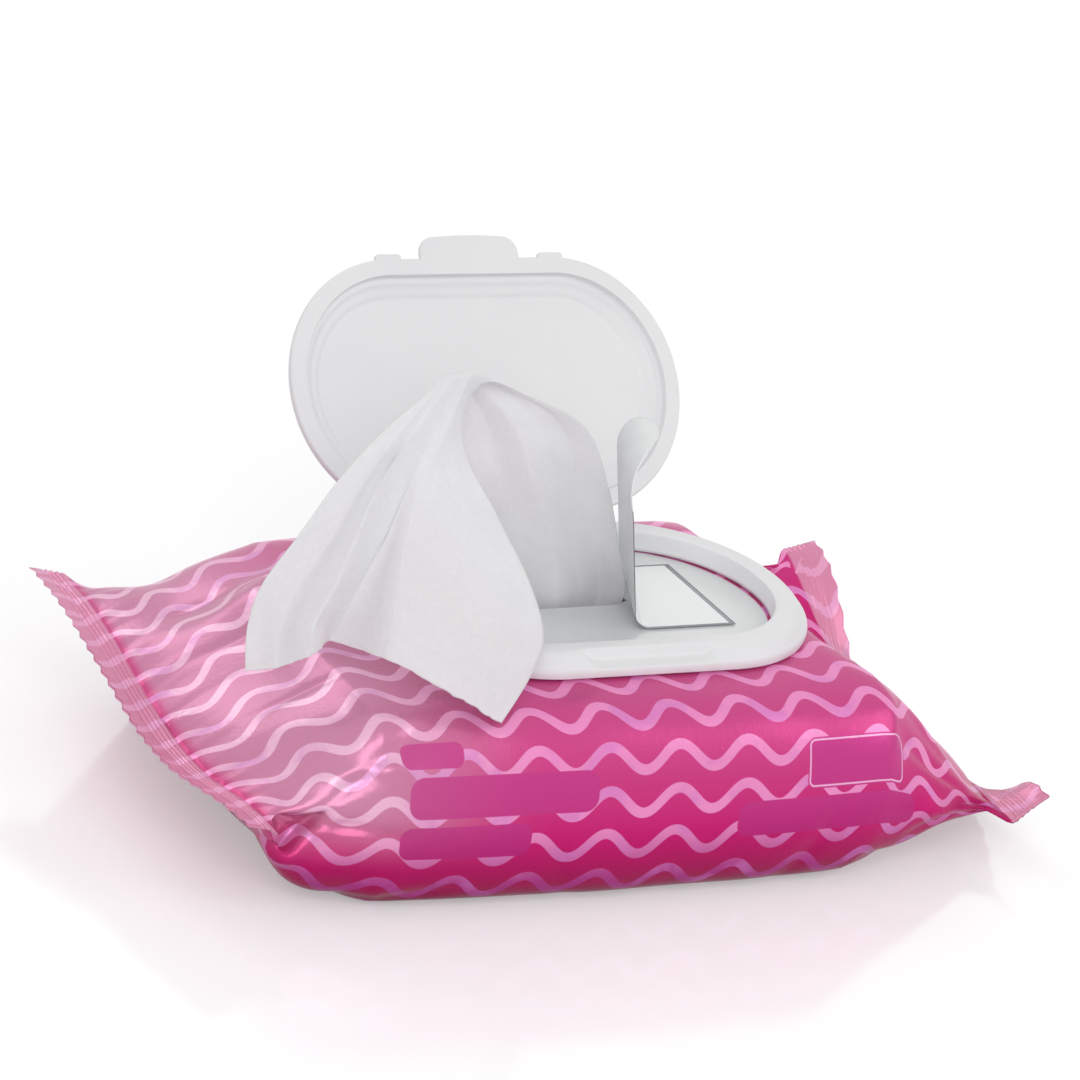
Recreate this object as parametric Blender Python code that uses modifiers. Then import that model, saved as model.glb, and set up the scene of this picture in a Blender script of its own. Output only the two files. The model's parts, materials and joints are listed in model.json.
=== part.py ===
"""Wet wipes pack: a film pouch round a stack of folded wipes, with a flip-top closure on its top.

Frame: metres, +Z up. The origin is the centre of the pouch's flat underside. +X runs along the
pack's length and -Y is the side whose edge the lid opens from, so the hinge is at +Y.
"""
import math

import bmesh
import bpy
from mathutils import Matrix, Vector

MM = 0.001

# Film pouch
POUCH_LENGTH = 205.0 * MM      # over both crimped fins
POUCH_DEPTH = 104.0 * MM       # widest, a little above the table
POUCH_HEIGHT = 41.5 * MM       # flat top above the table
FIN_LENGTH = 11.0 * MM         # crimped seal, along X
FIN_INSET = 3.5 * MM           # fin's ends inside the pouch's widest depth
FIN_HEIGHT = 20.0 * MM         # mid-plane of the fins above the table
FIN_THICKNESS = 1.2 * MM
FILM_WALL = 0.4 * MM           # stands in for a film of 0.07 mm
END_TAPER = 22.0 * MM          # wedge between a fin and the full section

# Die-cut mouth in the pouch's top, under the closure
CLOSURE_X = 2.5 * MM           # closure's centre from the pouch's centre
MOUTH_LENGTH = 42.0 * MM
MOUTH_DEPTH = 12.0 * MM
MOUTH_BACK = 21.6 * MM         # mouth's centre from the label's fold
MOUTH_Y = 4.5 * MM

# Stack of folded wipes
STACK_END_ROOM = 4.5 * MM      # short of the pouch's full section, each end
STACK_SIDE_ROOM = 9.0 * MM     # inside the pouch's widest depth, each side
STACK_TOP_ROOM = 6.0 * MM      # under the film on top
STACK_ROUND = 6.0 * MM
STACK_LIFT = 0.9 * MM          # between the stack and the film under it

# Closure base: a ring glued on the film
GLUE_GAP = 0.3 * MM
RING_LENGTH = 105.4 * MM
RING_DEPTH = 64.4 * MM
RING_HEIGHT = 4.8 * MM
RING_EDGE = 1.3 * MM           # height of the upright outer edge
RING_SLOPE = 3.4 * MM          # width of the sloped shoulder outside the seat
OPENING_INSET = 7.7 * MM       # outer edge to the inner opening
NOTCH_WIDTH = 32.0 * MM        # finger notch at the front, under the lid's tab
NOTCH_FLOOR = 1.7 * MM

# Lid
LID_INSET = 3.7 * MM           # closed lid inside the ring's outer edge, all round
LID_DISH = 4.0 * MM            # inside depth, rim to panel
LID_WALL = 1.3 * MM
RIM_WIDTH = 3.8 * MM           # flat band round the inside
RIM_STEP = 0.9 * MM
RIM_EDGE = 1.3 * MM
PANEL_INSET = 8.7 * MM
SEAT_GAP = 0.3 * MM            # closed rim above the ring's seat
TAB_WIDTH = 25.0 * MM
TAB_REACH = 4.8 * MM
TAB_ROOT = 3.5 * MM            # how far the tab's form runs back into the rim
TAB_THICKNESS = 1.3 * MM
TAB_CORNER = 3.4 * MM
CATCH_WIDTH = 6.4 * MM
CATCH_REACH = 1.1 * MM
CATCH_X = 20.6 * MM
CATCH_THICKNESS = 1.2 * MM

# Hinge, along X at the closure's back
OPEN_ANGLE = 129.0             # degrees from closed to the open stop
AXIS_OUT = 2.17 * MM           # axis behind the closed lid's rear edge
AXIS_DROP = 0.6 * MM           # axis below the closed lid's rim plane
KNUCKLE_RADIUS = 1.7 * MM
KNUCKLE_WIDTH = 24.0 * MM
PIN_RADIUS = 0.8 * MM
PIN_REACH = 2.6 * MM           # pin beyond the knuckle, each end
EAR_WIDTH = 3.2 * MM
EAR_WALL = 1.0 * MM            # round the pin's hole
EAR_RELIEF = 0.12 * MM         # the post under an ear is this much narrower all round
HINGE_CLEARANCE = 0.3 * MM

# Reseal label: stuck at its right end, peeled back from its left end
LABEL_DEPTH = 28.4 * MM
LABEL_Y = 1.9 * MM             # its middle, from the closure's centre
LABEL_END_ROOM = 12.5 * MM     # stuck end from the end of the ring's opening
LABEL_THICKNESS = 0.3 * MM     # stands in for a film of 0.1 mm
LABEL_LENGTH = 69.0 * MM       # stuck end to the tab's tip, flat
LABEL_CORNER = 12.0 * MM       # length over which the tab's end rounds off
STUCK_LENGTH = 14.9 * MM       # stuck end to the fold, along the label's middle
FOLD_SKEW = 24.5               # degrees the fold turns from +Y towards +X
FOLD_RADIUS = 5.0 * MM
FLAP_ANGLE = 74.0              # degrees the flap turns up at the fold
CURL_ANGLE = 62.0              # extra turn over the tab's last stretch
CURL_LENGTH = 15.0 * MM

# Wipe drawn up through the mouth
WIPE_THICKNESS = 0.6 * MM      # stands in for a nonwoven of 0.4 mm
WIPE_CLEARANCE = 0.3 * MM      # between the drawn wipe's foot and the stack

pouch_half = POUCH_LENGTH / 2
full_end = pouch_half - FIN_LENGTH - END_TAPER
stack_length = 2 * (full_end - STACK_END_ROOM)
stack_depth = POUCH_DEPTH - 2 * STACK_SIDE_ROOM
stack_low = FILM_WALL + STACK_LIFT
stack_top = POUCH_HEIGHT - FILM_WALL - STACK_TOP_ROOM
ring_base = POUCH_HEIGHT + GLUE_GAP
ring_radius = RING_DEPTH / 2
lid_length = RING_LENGTH - 2 * LID_INSET
lid_depth = RING_DEPTH - 2 * LID_INSET
lid_radius = lid_depth / 2
label_end_x = RING_LENGTH / 2 - OPENING_INSET - LABEL_END_ROOM
fold_x = label_end_x - STUCK_LENGTH
mouth_x = fold_x - MOUTH_BACK
rim_plane = ring_base + RING_HEIGHT + SEAT_GAP
hinge_y = lid_radius + AXIS_OUT
hinge_z = rim_plane - AXIS_DROP
ear_radius = PIN_RADIUS + HINGE_CLEARANCE + EAR_WALL
ARC_STEPS = 20                 # facets of each half circle of the closure


def clear_scene():
    for old in list(bpy.data.objects):
        bpy.data.objects.remove(old, do_unlink=True)


def new_collection(name):
    collection = bpy.data.collections.new(name)
    bpy.context.scene.collection.children.link(collection)
    return collection


def material(name, colour, roughness, metallic=0.0):
    made = bpy.data.materials.new(name)
    made.use_nodes = True
    shader = made.node_tree.nodes["Principled BSDF"]
    shader.inputs["Base Color"].default_value = (*colour, 1.0)
    shader.inputs["Roughness"].default_value = roughness
    shader.inputs["Metallic"].default_value = metallic
    made.diffuse_color = (*colour, 1.0)
    return made


def object_from(name, mesh_builder, collection, smooth_angle=35.0):
    """Make an object from a bmesh, with its faces turned outwards."""
    bmesh.ops.recalc_face_normals(mesh_builder, faces=mesh_builder.faces)
    mesh = bpy.data.meshes.new(name)
    mesh_builder.to_mesh(mesh)
    mesh_builder.free()
    mesh.shade_smooth()
    mesh.set_sharp_from_angle(angle=math.radians(smooth_angle))
    made = bpy.data.objects.new(name, mesh)
    collection.objects.link(made)
    return made


def as_cutter(tool):
    tool.hide_render = True
    tool.display_type = "WIRE"
    return tool


def boolean(target, tool, operation):
    step = target.modifiers.new(f"{operation} {tool.name}", "BOOLEAN")
    step.operation = operation
    step.solver = "EXACT"
    step.object = tool


def stadium_points(length, depth, inset):
    """A stadium outline in the XY plane, anticlockwise, made smaller by inset all round."""
    radius = depth / 2 - inset
    straight = length / 2 - depth / 2
    points = []
    for side, start in ((1, -90.0), (-1, 90.0)):
        for step in range(ARC_STEPS + 1):
            angle = math.radians(start + 180.0 * step / ARC_STEPS)
            points.append((side * straight + radius * math.cos(angle), radius * math.sin(angle)))
    return points


def stadium_body(name, length, depth, profile, closed, collection):
    """Carry a profile of (inset, height) points round a stadium.

    A closed profile makes a ring. An open one makes a plate, capped at its first and last rings.
    """
    builder = bmesh.new()
    rings = []
    for inset, height in profile:
        outline = stadium_points(length, depth, inset)
        rings.append([builder.verts.new((x, y, height)) for x, y in outline])
    pairs = list(zip(rings, rings[1:]))
    if closed:
        pairs.append((rings[-1], rings[0]))
    for low, high in pairs:
        for here in range(len(low)):
            there = (here + 1) % len(low)
            builder.faces.new((low[here], low[there], high[there], high[here]))
    if not closed:
        builder.faces.new(rings[0])
        builder.faces.new(rings[-1])
    return object_from(name, builder, collection)


def block(name, low, high, collection, round_edges=0.0, round_axis=None):
    """A box between two corners, with its edges along one axis rounded if asked."""
    builder = bmesh.new()
    size = [h - l for l, h in zip(low, high)]
    centre = [(h + l) / 2 for l, h in zip(low, high)]
    bmesh.ops.create_cube(
        builder, size=1.0,
        matrix=Matrix.Translation(centre) @ Matrix.Diagonal((*size, 1.0)))
    if round_edges:
        edges = [edge for edge in builder.edges
                 if round_axis is None
                 or abs((edge.verts[1].co - edge.verts[0].co).normalized()[round_axis]) > 0.99]
        bmesh.ops.bevel(builder, geom=edges, offset=round_edges, segments=5,
                        profile=0.5, affect="EDGES")
    return object_from(name, builder, collection)


def rod(name, radius, low_x, high_x, y, z, collection, segments=24):
    """A cylinder along X."""
    builder = bmesh.new()
    bmesh.ops.create_cone(
        builder, cap_ends=True, segments=segments, radius1=radius, radius2=radius,
        depth=high_x - low_x,
        matrix=Matrix.Translation(((low_x + high_x) / 2, y, z)) @ Matrix.Rotation(math.pi / 2, 4, "Y"))
    return object_from(name, builder, collection)


def pouch_section(x, half_depth, low, high):
    """A loaf-shaped section: flat below and on top, fullest a little above the table."""
    shape = ((0.0, 0.0), (0.46, 0.0), (0.86, 0.0), (0.965, 0.07), (1.0, 0.27), (0.985, 0.5),
             (0.94, 0.73), (0.865, 0.91), (0.75, 1.0), (0.37, 1.0), (0.0, 1.0))
    right = [(half_depth * across, low + (high - low) * up) for across, up in shape]
    left = [(-y, z) for y, z in right[-2:0:-1]]
    return [Vector((x, y, z)) for y, z in right + left]


def pouch_stations(wall, length_cut):
    """Sections along the pouch as (x, half depth, low, high), from its centre to its end.

    wall makes every section smaller, and length_cut ends the form before the fin does.
    """
    fin_low = FIN_HEIGHT - FIN_THICKNESS / 2
    fin_high = FIN_HEIGHT + FIN_THICKNESS / 2
    half_depth = POUCH_DEPTH / 2
    fin_half = half_depth - FIN_INSET
    steps = [
        (0.0, half_depth, 0.0, POUCH_HEIGHT),
        (full_end * 0.5, half_depth, 0.0, POUCH_HEIGHT),
        (full_end * 0.9, half_depth, POUCH_HEIGHT * 0.008, POUCH_HEIGHT),
        (full_end + END_TAPER * 0.12, half_depth * 0.995, POUCH_HEIGHT * 0.02, POUCH_HEIGHT * 0.985),
        (full_end + END_TAPER * 0.45, half_depth * 0.975, POUCH_HEIGHT * 0.05, POUCH_HEIGHT * 0.87),
        (full_end + END_TAPER * 0.78, half_depth * 0.95, POUCH_HEIGHT * 0.26, POUCH_HEIGHT * 0.7),
    ]
    inner = [(x, d - wall, low + wall, high - wall) for x, d, low, high in steps]
    if length_cut:
        tip = pouch_half - FIN_LENGTH - length_cut
        inner.append((tip, fin_half - 2 * wall, FIN_HEIGHT - 2 * wall, FIN_HEIGHT + 2 * wall))
        return inner
    root = pouch_half - FIN_LENGTH
    inner.append((root, fin_half, fin_low, fin_high))
    inner.append((root + 0.08 * FIN_LENGTH, fin_half, fin_low, fin_high))
    inner.append((root + 0.92 * FIN_LENGTH, fin_half, fin_low, fin_high))
    inner.append((pouch_half, fin_half, fin_low, fin_high))
    return inner


def pouch_form(name, wall, length_cut, collection):
    """Loft the stations, mirrored about the middle, into one closed form."""
    half = pouch_stations(wall, length_cut)
    stations = [(-x, d, low, high) for x, d, low, high in half[:0:-1]] + half
    builder = bmesh.new()
    rings = [[builder.verts.new(point) for point in pouch_section(*station)] for station in stations]
    for low, high in zip(rings, rings[1:]):
        for here in range(len(low)):
            there = (here + 1) % len(low)
            builder.faces.new((low[here], low[there], high[there], high[here]))
    half_count = len(rings[0]) // 2
    for ring in (rings[0], rings[-1]):
        for step in range(half_count):
            quad = [ring[step], ring[step + 1], ring[-step - 1], ring[-step]]
            builder.faces.new(list(dict.fromkeys(quad)))
    made = object_from(name, builder, collection)
    smooth = made.modifiers.new("Soften", "SUBSURF")
    smooth.levels = 1
    smooth.render_levels = 1
    return made


def make_pouch(parts, cutters, film):
    pouch = pouch_form("pouch", 0.0, 0.0, parts)
    hollow = as_cutter(pouch_form("pouch_hollow", FILM_WALL, 1.6 * MM, cutters))
    mouth_outline = [(0.0, POUCH_HEIGHT - 3.0 * MM), (0.0, POUCH_HEIGHT + 3.0 * MM)]
    mouth = as_cutter(stadium_body(
        "pouch_mouth", MOUTH_LENGTH, MOUTH_DEPTH, mouth_outline, False, cutters))
    mouth.location = (CLOSURE_X + mouth_x, MOUTH_Y, 0.0)
    boolean(pouch, hollow, "DIFFERENCE")
    boolean(pouch, mouth, "DIFFERENCE")
    pouch.data.materials.append(film)


def make_stack(parts, cloth):
    stack = block(
        "wipe_stack",
        (-stack_length / 2, -stack_depth / 2, stack_low),
        (stack_length / 2, stack_depth / 2, stack_top),
        parts, STACK_ROUND)
    stack.data.materials.append(cloth)


def ring_profile():
    """Section of the ring from its outer foot, up over the shoulder and the seat, to its opening."""
    top = RING_HEIGHT
    return [
        (0.0, 0.0),
        (0.0, RING_EDGE),
        (0.22 * MM, RING_EDGE + 0.5 * MM),
        (0.8 * MM, RING_EDGE + 1.1 * MM),
        (RING_SLOPE * 0.62, top - 1.0 * MM),
        (RING_SLOPE * 0.85, top - 0.35 * MM),
        (RING_SLOPE * 1.08, top - 0.05 * MM),
        (RING_SLOPE * 1.3, top),
        (OPENING_INSET - 0.8 * MM, top),
        (OPENING_INSET - 0.25 * MM, top - 0.25 * MM),
        (OPENING_INSET, top - 0.8 * MM),
        (OPENING_INSET, 0.0),
    ]


def make_ring(parts, cutters, plastic):
    ring = stadium_body("closure_ring", RING_LENGTH, RING_DEPTH, ring_profile(), True, parts)
    ring.location = (CLOSURE_X, 0.0, ring_base)
    notch = as_cutter(block(
        "finger_notch",
        (CLOSURE_X - NOTCH_WIDTH / 2, -ring_radius - 2.0 * MM, ring_base + NOTCH_FLOOR),
        (CLOSURE_X + NOTCH_WIDTH / 2, -ring_radius + RING_SLOPE, ring_base + RING_HEIGHT + 2.0 * MM),
        cutters, 1.6 * MM, 1))
    boolean(ring, notch, "DIFFERENCE")
    ear_low = KNUCKLE_WIDTH / 2 + HINGE_CLEARANCE
    for side, hand in ((-1, "left"), (1, "right")):
        span = sorted((CLOSURE_X + side * ear_low, CLOSURE_X + side * (ear_low + EAR_WIDTH)))
        eye = as_cutter(rod(f"ear_eye_{hand}", ear_radius, *span, hinge_y, hinge_z, cutters))
        post = as_cutter(block(
            f"ear_post_{hand}",
            (span[0] + EAR_RELIEF, hinge_y - ear_radius + EAR_RELIEF, ring_base + 0.6 * MM),
            (span[1] - EAR_RELIEF, hinge_y + ear_radius - EAR_RELIEF, hinge_z), cutters))
        boolean(ring, post, "UNION")
        boolean(ring, eye, "UNION")
    pocket = as_cutter(rod(
        "knuckle_pocket", KNUCKLE_RADIUS + HINGE_CLEARANCE,
        CLOSURE_X - ear_low, CLOSURE_X + ear_low, hinge_y, hinge_z, cutters, 32))
    boolean(ring, pocket, "DIFFERENCE")
    hole_reach = ear_low + EAR_WIDTH + 1.0 * MM
    pin_hole = as_cutter(rod(
        "pin_hole", PIN_RADIUS + HINGE_CLEARANCE,
        CLOSURE_X - hole_reach, CLOSURE_X + hole_reach, hinge_y, hinge_z, cutters))
    boolean(ring, pin_hole, "DIFFERENCE")
    ring.data.materials.append(plastic)


def lid_profile():
    """Section of the closed lid above its rim plane, from the panel's underside round to its top."""
    top = LID_DISH + LID_WALL
    return [
        (PANEL_INSET, LID_DISH),
        (PANEL_INSET - 1.1 * MM, LID_DISH - 0.2 * MM),
        (PANEL_INSET - 2.3 * MM, LID_DISH - 0.95 * MM),
        (RIM_WIDTH + 1.3 * MM, RIM_STEP + 0.75 * MM),
        (RIM_WIDTH + 0.3 * MM, RIM_STEP + 0.1 * MM),
        (RIM_WIDTH, RIM_STEP),
        (RIM_WIDTH, 0.0),
        (0.25 * MM, 0.0),
        (0.0, 0.25 * MM),
        (0.0, RIM_EDGE),
        (0.35 * MM, RIM_EDGE + 0.65 * MM),
        (1.6 * MM, RIM_EDGE + 1.5 * MM),
        (RIM_WIDTH, top - 1.35 * MM),
        (PANEL_INSET - 2.2 * MM, top - 0.35 * MM),
        (PANEL_INSET + 0.6 * MM, top),
    ]


def make_lid(parts, cutters, plastic):
    """The lid is modelled closed, round its own hinge axis, and then turned open."""
    lid = stadium_body("lid", lid_length, lid_depth, lid_profile(), False, parts)
    lid.data.transform(Matrix.Translation((0.0, -hinge_y, AXIS_DROP)))
    holder = bpy.data.objects.new("lid_axis", None)
    parts.objects.link(holder)
    holder.location = (CLOSURE_X, hinge_y, hinge_z)
    holder.rotation_euler = (-math.radians(OPEN_ANGLE), 0.0, 0.0)
    lid.parent = holder
    front = -hinge_y - lid_radius
    rear = lid_radius - hinge_y
    tab = block(
        "tab_form",
        (-TAB_WIDTH / 2, front - TAB_REACH, AXIS_DROP + 0.1 * MM),
        (TAB_WIDTH / 2, front + TAB_ROOT, AXIS_DROP + 0.1 * MM + TAB_THICKNESS),
        cutters, TAB_CORNER, 2)
    joined = [tab]
    for side, hand in ((-1, "left"), (1, "right")):
        joined.append(block(
            f"catch_form_{hand}",
            (side * CATCH_X - CATCH_WIDTH / 2, front - CATCH_REACH, AXIS_DROP + 0.1 * MM),
            (side * CATCH_X + CATCH_WIDTH / 2, front + 2.0 * MM,
             AXIS_DROP + 0.1 * MM + CATCH_THICKNESS),
            cutters, 0.9 * MM, 2))
        ear_middle = side * (KNUCKLE_WIDTH / 2 + HINGE_CLEARANCE + EAR_WIDTH / 2)
        ear_room = EAR_WIDTH / 2 + HINGE_CLEARANCE
        relief = as_cutter(rod(
            f"ear_relief_{hand}", ear_radius + 2 * HINGE_CLEARANCE,
            ear_middle - ear_room, ear_middle + ear_room, 0.0, 0.0, cutters, 32))
        relief.parent = holder
        boolean(lid, relief, "DIFFERENCE")
    joined.append(block(
        "hinge_web",
        (-KNUCKLE_WIDTH / 2, rear - 1.5 * MM, AXIS_DROP),
        (KNUCKLE_WIDTH / 2, 0.0, KNUCKLE_RADIUS * 0.92), cutters))
    joined.append(rod(
        "hinge_knuckle", KNUCKLE_RADIUS, -KNUCKLE_WIDTH / 2, KNUCKLE_WIDTH / 2, 0.0, 0.0, cutters, 32))
    pin_reach = KNUCKLE_WIDTH / 2 + PIN_REACH
    joined.append(rod("hinge_pins", PIN_RADIUS, -pin_reach, pin_reach, 0.0, 0.0, cutters))
    for form in joined:
        form.parent = holder
        boolean(lid, as_cutter(form), "UNION")
    lid.data.materials.append(plastic)


def sheet_object(name, rows, thickness, collection):
    """A sheet through a grid of points, given its thickness to both sides."""
    builder = bmesh.new()
    grid = [[builder.verts.new(point) for point in row] for row in rows]
    for low, high in zip(grid, grid[1:]):
        for here in range(len(low) - 1):
            builder.faces.new((low[here], low[here + 1], high[here + 1], high[here]))
    made = object_from(name, builder, collection)
    wall = made.modifiers.new("Thickness", "SOLIDIFY")
    wall.thickness = thickness
    wall.offset = 0.0
    return made


def flap_turn(distance):
    """How far the label has turned up, in radians, at a distance past its fold line."""
    fold_end = FOLD_RADIUS * math.radians(FLAP_ANGLE)
    curl_start = LABEL_LENGTH - STUCK_LENGTH - CURL_LENGTH
    turn = math.radians(FLAP_ANGLE) * min(max(distance / fold_end, 0.0), 1.0)
    curl = min(max((distance - curl_start) / CURL_LENGTH, 0.0), 1.0)
    return turn + math.radians(CURL_ANGLE) * curl


def label_point(flat_x, flat_y):
    """Bend a flat point of the label about its skewed fold line."""
    skew = math.radians(FOLD_SKEW)
    along = Vector((math.sin(skew), math.cos(skew), 0.0))
    away = Vector((-math.cos(skew), math.sin(skew), 0.0))
    fold = Vector((fold_x, LABEL_Y, 0.0))
    flat = Vector((flat_x, flat_y, 0.0)) - fold
    distance = flat.dot(away)
    out, up = min(distance, 0.0), 0.0
    steps = 40
    for step in range(steps):
        turn = flap_turn(max(distance, 0.0) * (step + 0.5) / steps)
        out += max(distance, 0.0) / steps * math.cos(turn)
        up += max(distance, 0.0) / steps * math.sin(turn)
    point = fold + along * flat.dot(along) + away * out
    base = ring_base + LABEL_THICKNESS / 2
    return Vector((point.x + CLOSURE_X, point.y, base + up))


def make_label(parts, film):
    rows = []
    row_count = 36
    for row in range(row_count + 1):
        reach = LABEL_LENGTH * row / row_count
        past = max(reach - (LABEL_LENGTH - LABEL_CORNER), 0.0) / LABEL_CORNER
        half = LABEL_DEPTH / 2 * math.sqrt(max(1.0 - 0.93 * past ** 2, 0.0))
        flat_x = label_end_x - reach
        rows.append([label_point(flat_x, LABEL_Y + half * step / 3.0) for step in range(-3, 4)])
    label = sheet_object("reseal_label", rows, LABEL_THICKNESS, parts)
    label.data.materials.append(film)


def wipe_rows():
    """Places, in mm from the mouth's centre line on the film, from the stack over the crest to the hem.

    Each row goes from the wipe's left edge to its right edge.
    """
    foot = (stack_top - ring_base + WIPE_CLEARANCE + WIPE_THICKNESS / 2) / MM
    return [
        [(-18, 1, foot), (-9, 3, foot), (0, 0.5, foot), (9, 3, foot), (15, 1, foot)],
        [(-18, 1, 2), (-9.5, 3, 2), (-0.5, 0.5, 2), (9, 3, 2), (16.5, 1, 2)],
        [(-24, 0, 14), (-15, 3, 14), (-5.5, 0, 14), (3, 3, 13), (11.5, 0, 12)],
        [(-32, -2, 29), (-23, 2, 29), (-14, 0, 29), (-3, 2.5, 29), (7, 0, 28)],
        [(-40, -3, 43), (-32, 1, 43), (-23, 0, 44), (-12, 1.5, 44.5), (-1, 0, 43)],
        [(-47, -4, 53), (-41, -1.5, 55), (-36, -1, 55.5), (-28, -0.5, 54), (-15, 0, 51.5)],
        [(-53, -8, 52.5), (-47, -7, 57), (-42, -7, 59), (-38, -6, 58.5), (-34, -5, 56)],
        [(-66, -12, 44.5), (-56, -14, 47), (-48, -14, 48), (-43, -13, 48), (-39, -11, 46)],
        [(-76, -15, 33.5), (-65, -19, 35), (-54, -19, 35.5), (-45, -20, 35), (-35, -16, 33.5)],
        [(-84, -18, 22.5), (-72, -23, 23), (-59, -24.5, 23), (-45, -28, 23), (-28, -22, 23)],
        [(-88, -21, 12), (-77, -26, 13), (-63, -29, 14), (-46, -35, 14), (-24, -29, 13)],
        [(-88.5, -23.5, 2), (-76, -28, 7), (-64, -33, 8.5), (-52, -41, 6.5), (-29, -38, 6)],
        [(-88.5, -24, 0), (-75, -28.5, 5.5), (-63, -34.5, 6.5), (-53, -41.5, 4), (-43, -49, -3)],
    ]


def make_wipe(parts, cloth):
    rows = [[Vector((CLOSURE_X + mouth_x + x * MM, y * MM, ring_base + z * MM)) for x, y, z in row]
            for row in wipe_rows()]
    wipe = sheet_object("pulled_wipe", rows, WIPE_THICKNESS, parts)
    soften = wipe.modifiers.new("Soften", "SUBSURF")
    soften.levels = 1
    soften.render_levels = 1
    wipe.modifiers.move(1, 0)
    wipe.data.materials.append(cloth)


def main():
    clear_scene()
    parts = new_collection("wet_wipes_pack")
    cutters = new_collection("cutters")
    film = material("pouch_film", (0.6, 0.06, 0.26), 0.3)
    white_plastic = material("closure_plastic", (0.78, 0.78, 0.78), 0.4)
    label_film = material("label_film", (0.82, 0.83, 0.83), 0.25)
    cloth = material("nonwoven", (0.78, 0.79, 0.78), 0.9)
    make_pouch(parts, cutters, film)
    make_stack(parts, cloth)
    make_ring(parts, cutters, white_plastic)
    make_lid(parts, cutters, white_plastic)
    make_label(parts, label_film)
    make_wipe(parts, cloth)


main()
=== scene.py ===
import json
import math

import bpy
import numpy as np
from mathutils import Matrix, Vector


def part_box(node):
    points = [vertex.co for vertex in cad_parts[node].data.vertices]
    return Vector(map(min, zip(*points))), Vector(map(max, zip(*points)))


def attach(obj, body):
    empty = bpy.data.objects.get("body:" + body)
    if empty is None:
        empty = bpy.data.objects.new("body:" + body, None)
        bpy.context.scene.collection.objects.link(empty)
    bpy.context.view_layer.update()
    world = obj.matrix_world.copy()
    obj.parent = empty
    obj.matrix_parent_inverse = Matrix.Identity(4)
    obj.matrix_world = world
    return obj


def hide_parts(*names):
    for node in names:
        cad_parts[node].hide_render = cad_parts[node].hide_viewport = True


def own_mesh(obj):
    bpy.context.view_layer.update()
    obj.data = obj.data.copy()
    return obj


# Wet wipes pack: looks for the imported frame. Lengths are in mm until a mesh is made.
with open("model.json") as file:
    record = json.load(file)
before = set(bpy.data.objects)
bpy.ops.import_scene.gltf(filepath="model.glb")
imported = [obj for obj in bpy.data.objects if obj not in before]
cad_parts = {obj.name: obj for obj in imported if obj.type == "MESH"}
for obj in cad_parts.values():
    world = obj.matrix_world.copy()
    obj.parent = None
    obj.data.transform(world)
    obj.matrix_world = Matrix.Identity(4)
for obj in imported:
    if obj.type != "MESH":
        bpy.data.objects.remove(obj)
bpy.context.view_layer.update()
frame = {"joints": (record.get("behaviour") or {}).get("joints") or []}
print("frame loaded")

metre = 1000.0
ringLow, ringHigh = (np.array(corner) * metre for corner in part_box("closure_ring"))
pouchLow, pouchHigh = (np.array(corner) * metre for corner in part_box("pouch"))
stackLow, stackHigh = (np.array(corner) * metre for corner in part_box("wipe_stack"))
hinge = np.array(frame["joints"][0]["pos_m"]) * metre
closureX = (ringLow[0] + ringHigh[0]) / 2
filmTop = ringLow[2]             # the closure and the label stand on the film here
closureCentre = np.array([closureX, 0.0, filmTop])


# Shapes

def smoothStep(low, high, value):
    # S curve: 0 below low, 1 above high
    t = np.clip((value - low) / (high - low), 0.0, 1.0)
    return t * t * (3.0 - 2.0 * t)


def growth(spec, value):
    # spec is a size and two places: 0 at the first place, the size at the second, an S curve between
    size, low, high = spec
    return size * smoothStep(low, high, value)


def hump(low, high, value):
    # half a sine: 0 at low and high, 1 halfway
    return np.sin(np.pi * np.clip((value - low) / (high - low), 0.0, 1.0))


def curveThrough(points, places, closed=False, passing=True):
    # cubic through the points (Catmull-Rom), or near them (B-spline) where passing is False
    p = np.asarray(points, float)
    count = len(p)
    i = np.floor(places).astype(int)
    if not closed:
        i = np.clip(i, 0, count - 2)
    t = (places - i).reshape((-1,) + (1,) * (p.ndim - 1))
    around = [i - 1, i, i + 1, i + 2]
    a, b, c, d = (p[k % count] if closed else p[np.clip(k, 0, count - 1)] for k in around)
    if passing:
        return 0.5 * (2 * b + (c - a) * t + (2 * a - 5 * b + 4 * c - d) * t ** 2
                      + (3 * b - 3 * c + d - a) * t ** 3)
    return (a * (1 - t) ** 3 + b * (3 * t ** 3 - 6 * t ** 2 + 4)
            + c * (-3 * t ** 3 + 3 * t ** 2 + 3 * t + 1) + d * t ** 3) / 6.0


def gridQuads(rows, columns, wrapped):
    # corner numbers of each quad as row * columns + column, and the unwrapped (row, column) of each corner
    r, c = np.meshgrid(np.arange(rows - 1), np.arange(columns - (0 if wrapped else 1)), indexing="ij")
    r, c = r.ravel(), c.ravel()
    cornerRows = np.stack([r, r + 1, r + 1, r], 1)
    cornerColumns = np.stack([c, c, c + 1, c + 1], 1)
    return cornerRows * columns + cornerColumns % columns, cornerRows, cornerColumns


def gridNormals(points, wrapped):
    # cross product of the steps along the rows and along the columns
    along = np.gradient(points, axis=0)
    if wrapped:
        across = np.roll(points, -1, 1) - np.roll(points, 1, 1)
    else:
        across = np.gradient(points, axis=1)
    normal = np.cross(along, across)
    return normal / np.maximum(np.linalg.norm(normal, axis=2, keepdims=True), 1e-9)


def addObject(name, data):
    made = bpy.data.objects.new(name, data)
    bpy.context.scene.collection.objects.link(made)
    return made


def turnTo(made, right, up, back, place):
    # place in metres; right, up and back are the object's own X, Y and Z
    turn = np.eye(4)
    turn[:3, 0], turn[:3, 1], turn[:3, 2], turn[:3, 3] = right, up, back, place
    made.matrix_world = Matrix(turn.tolist())


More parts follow.
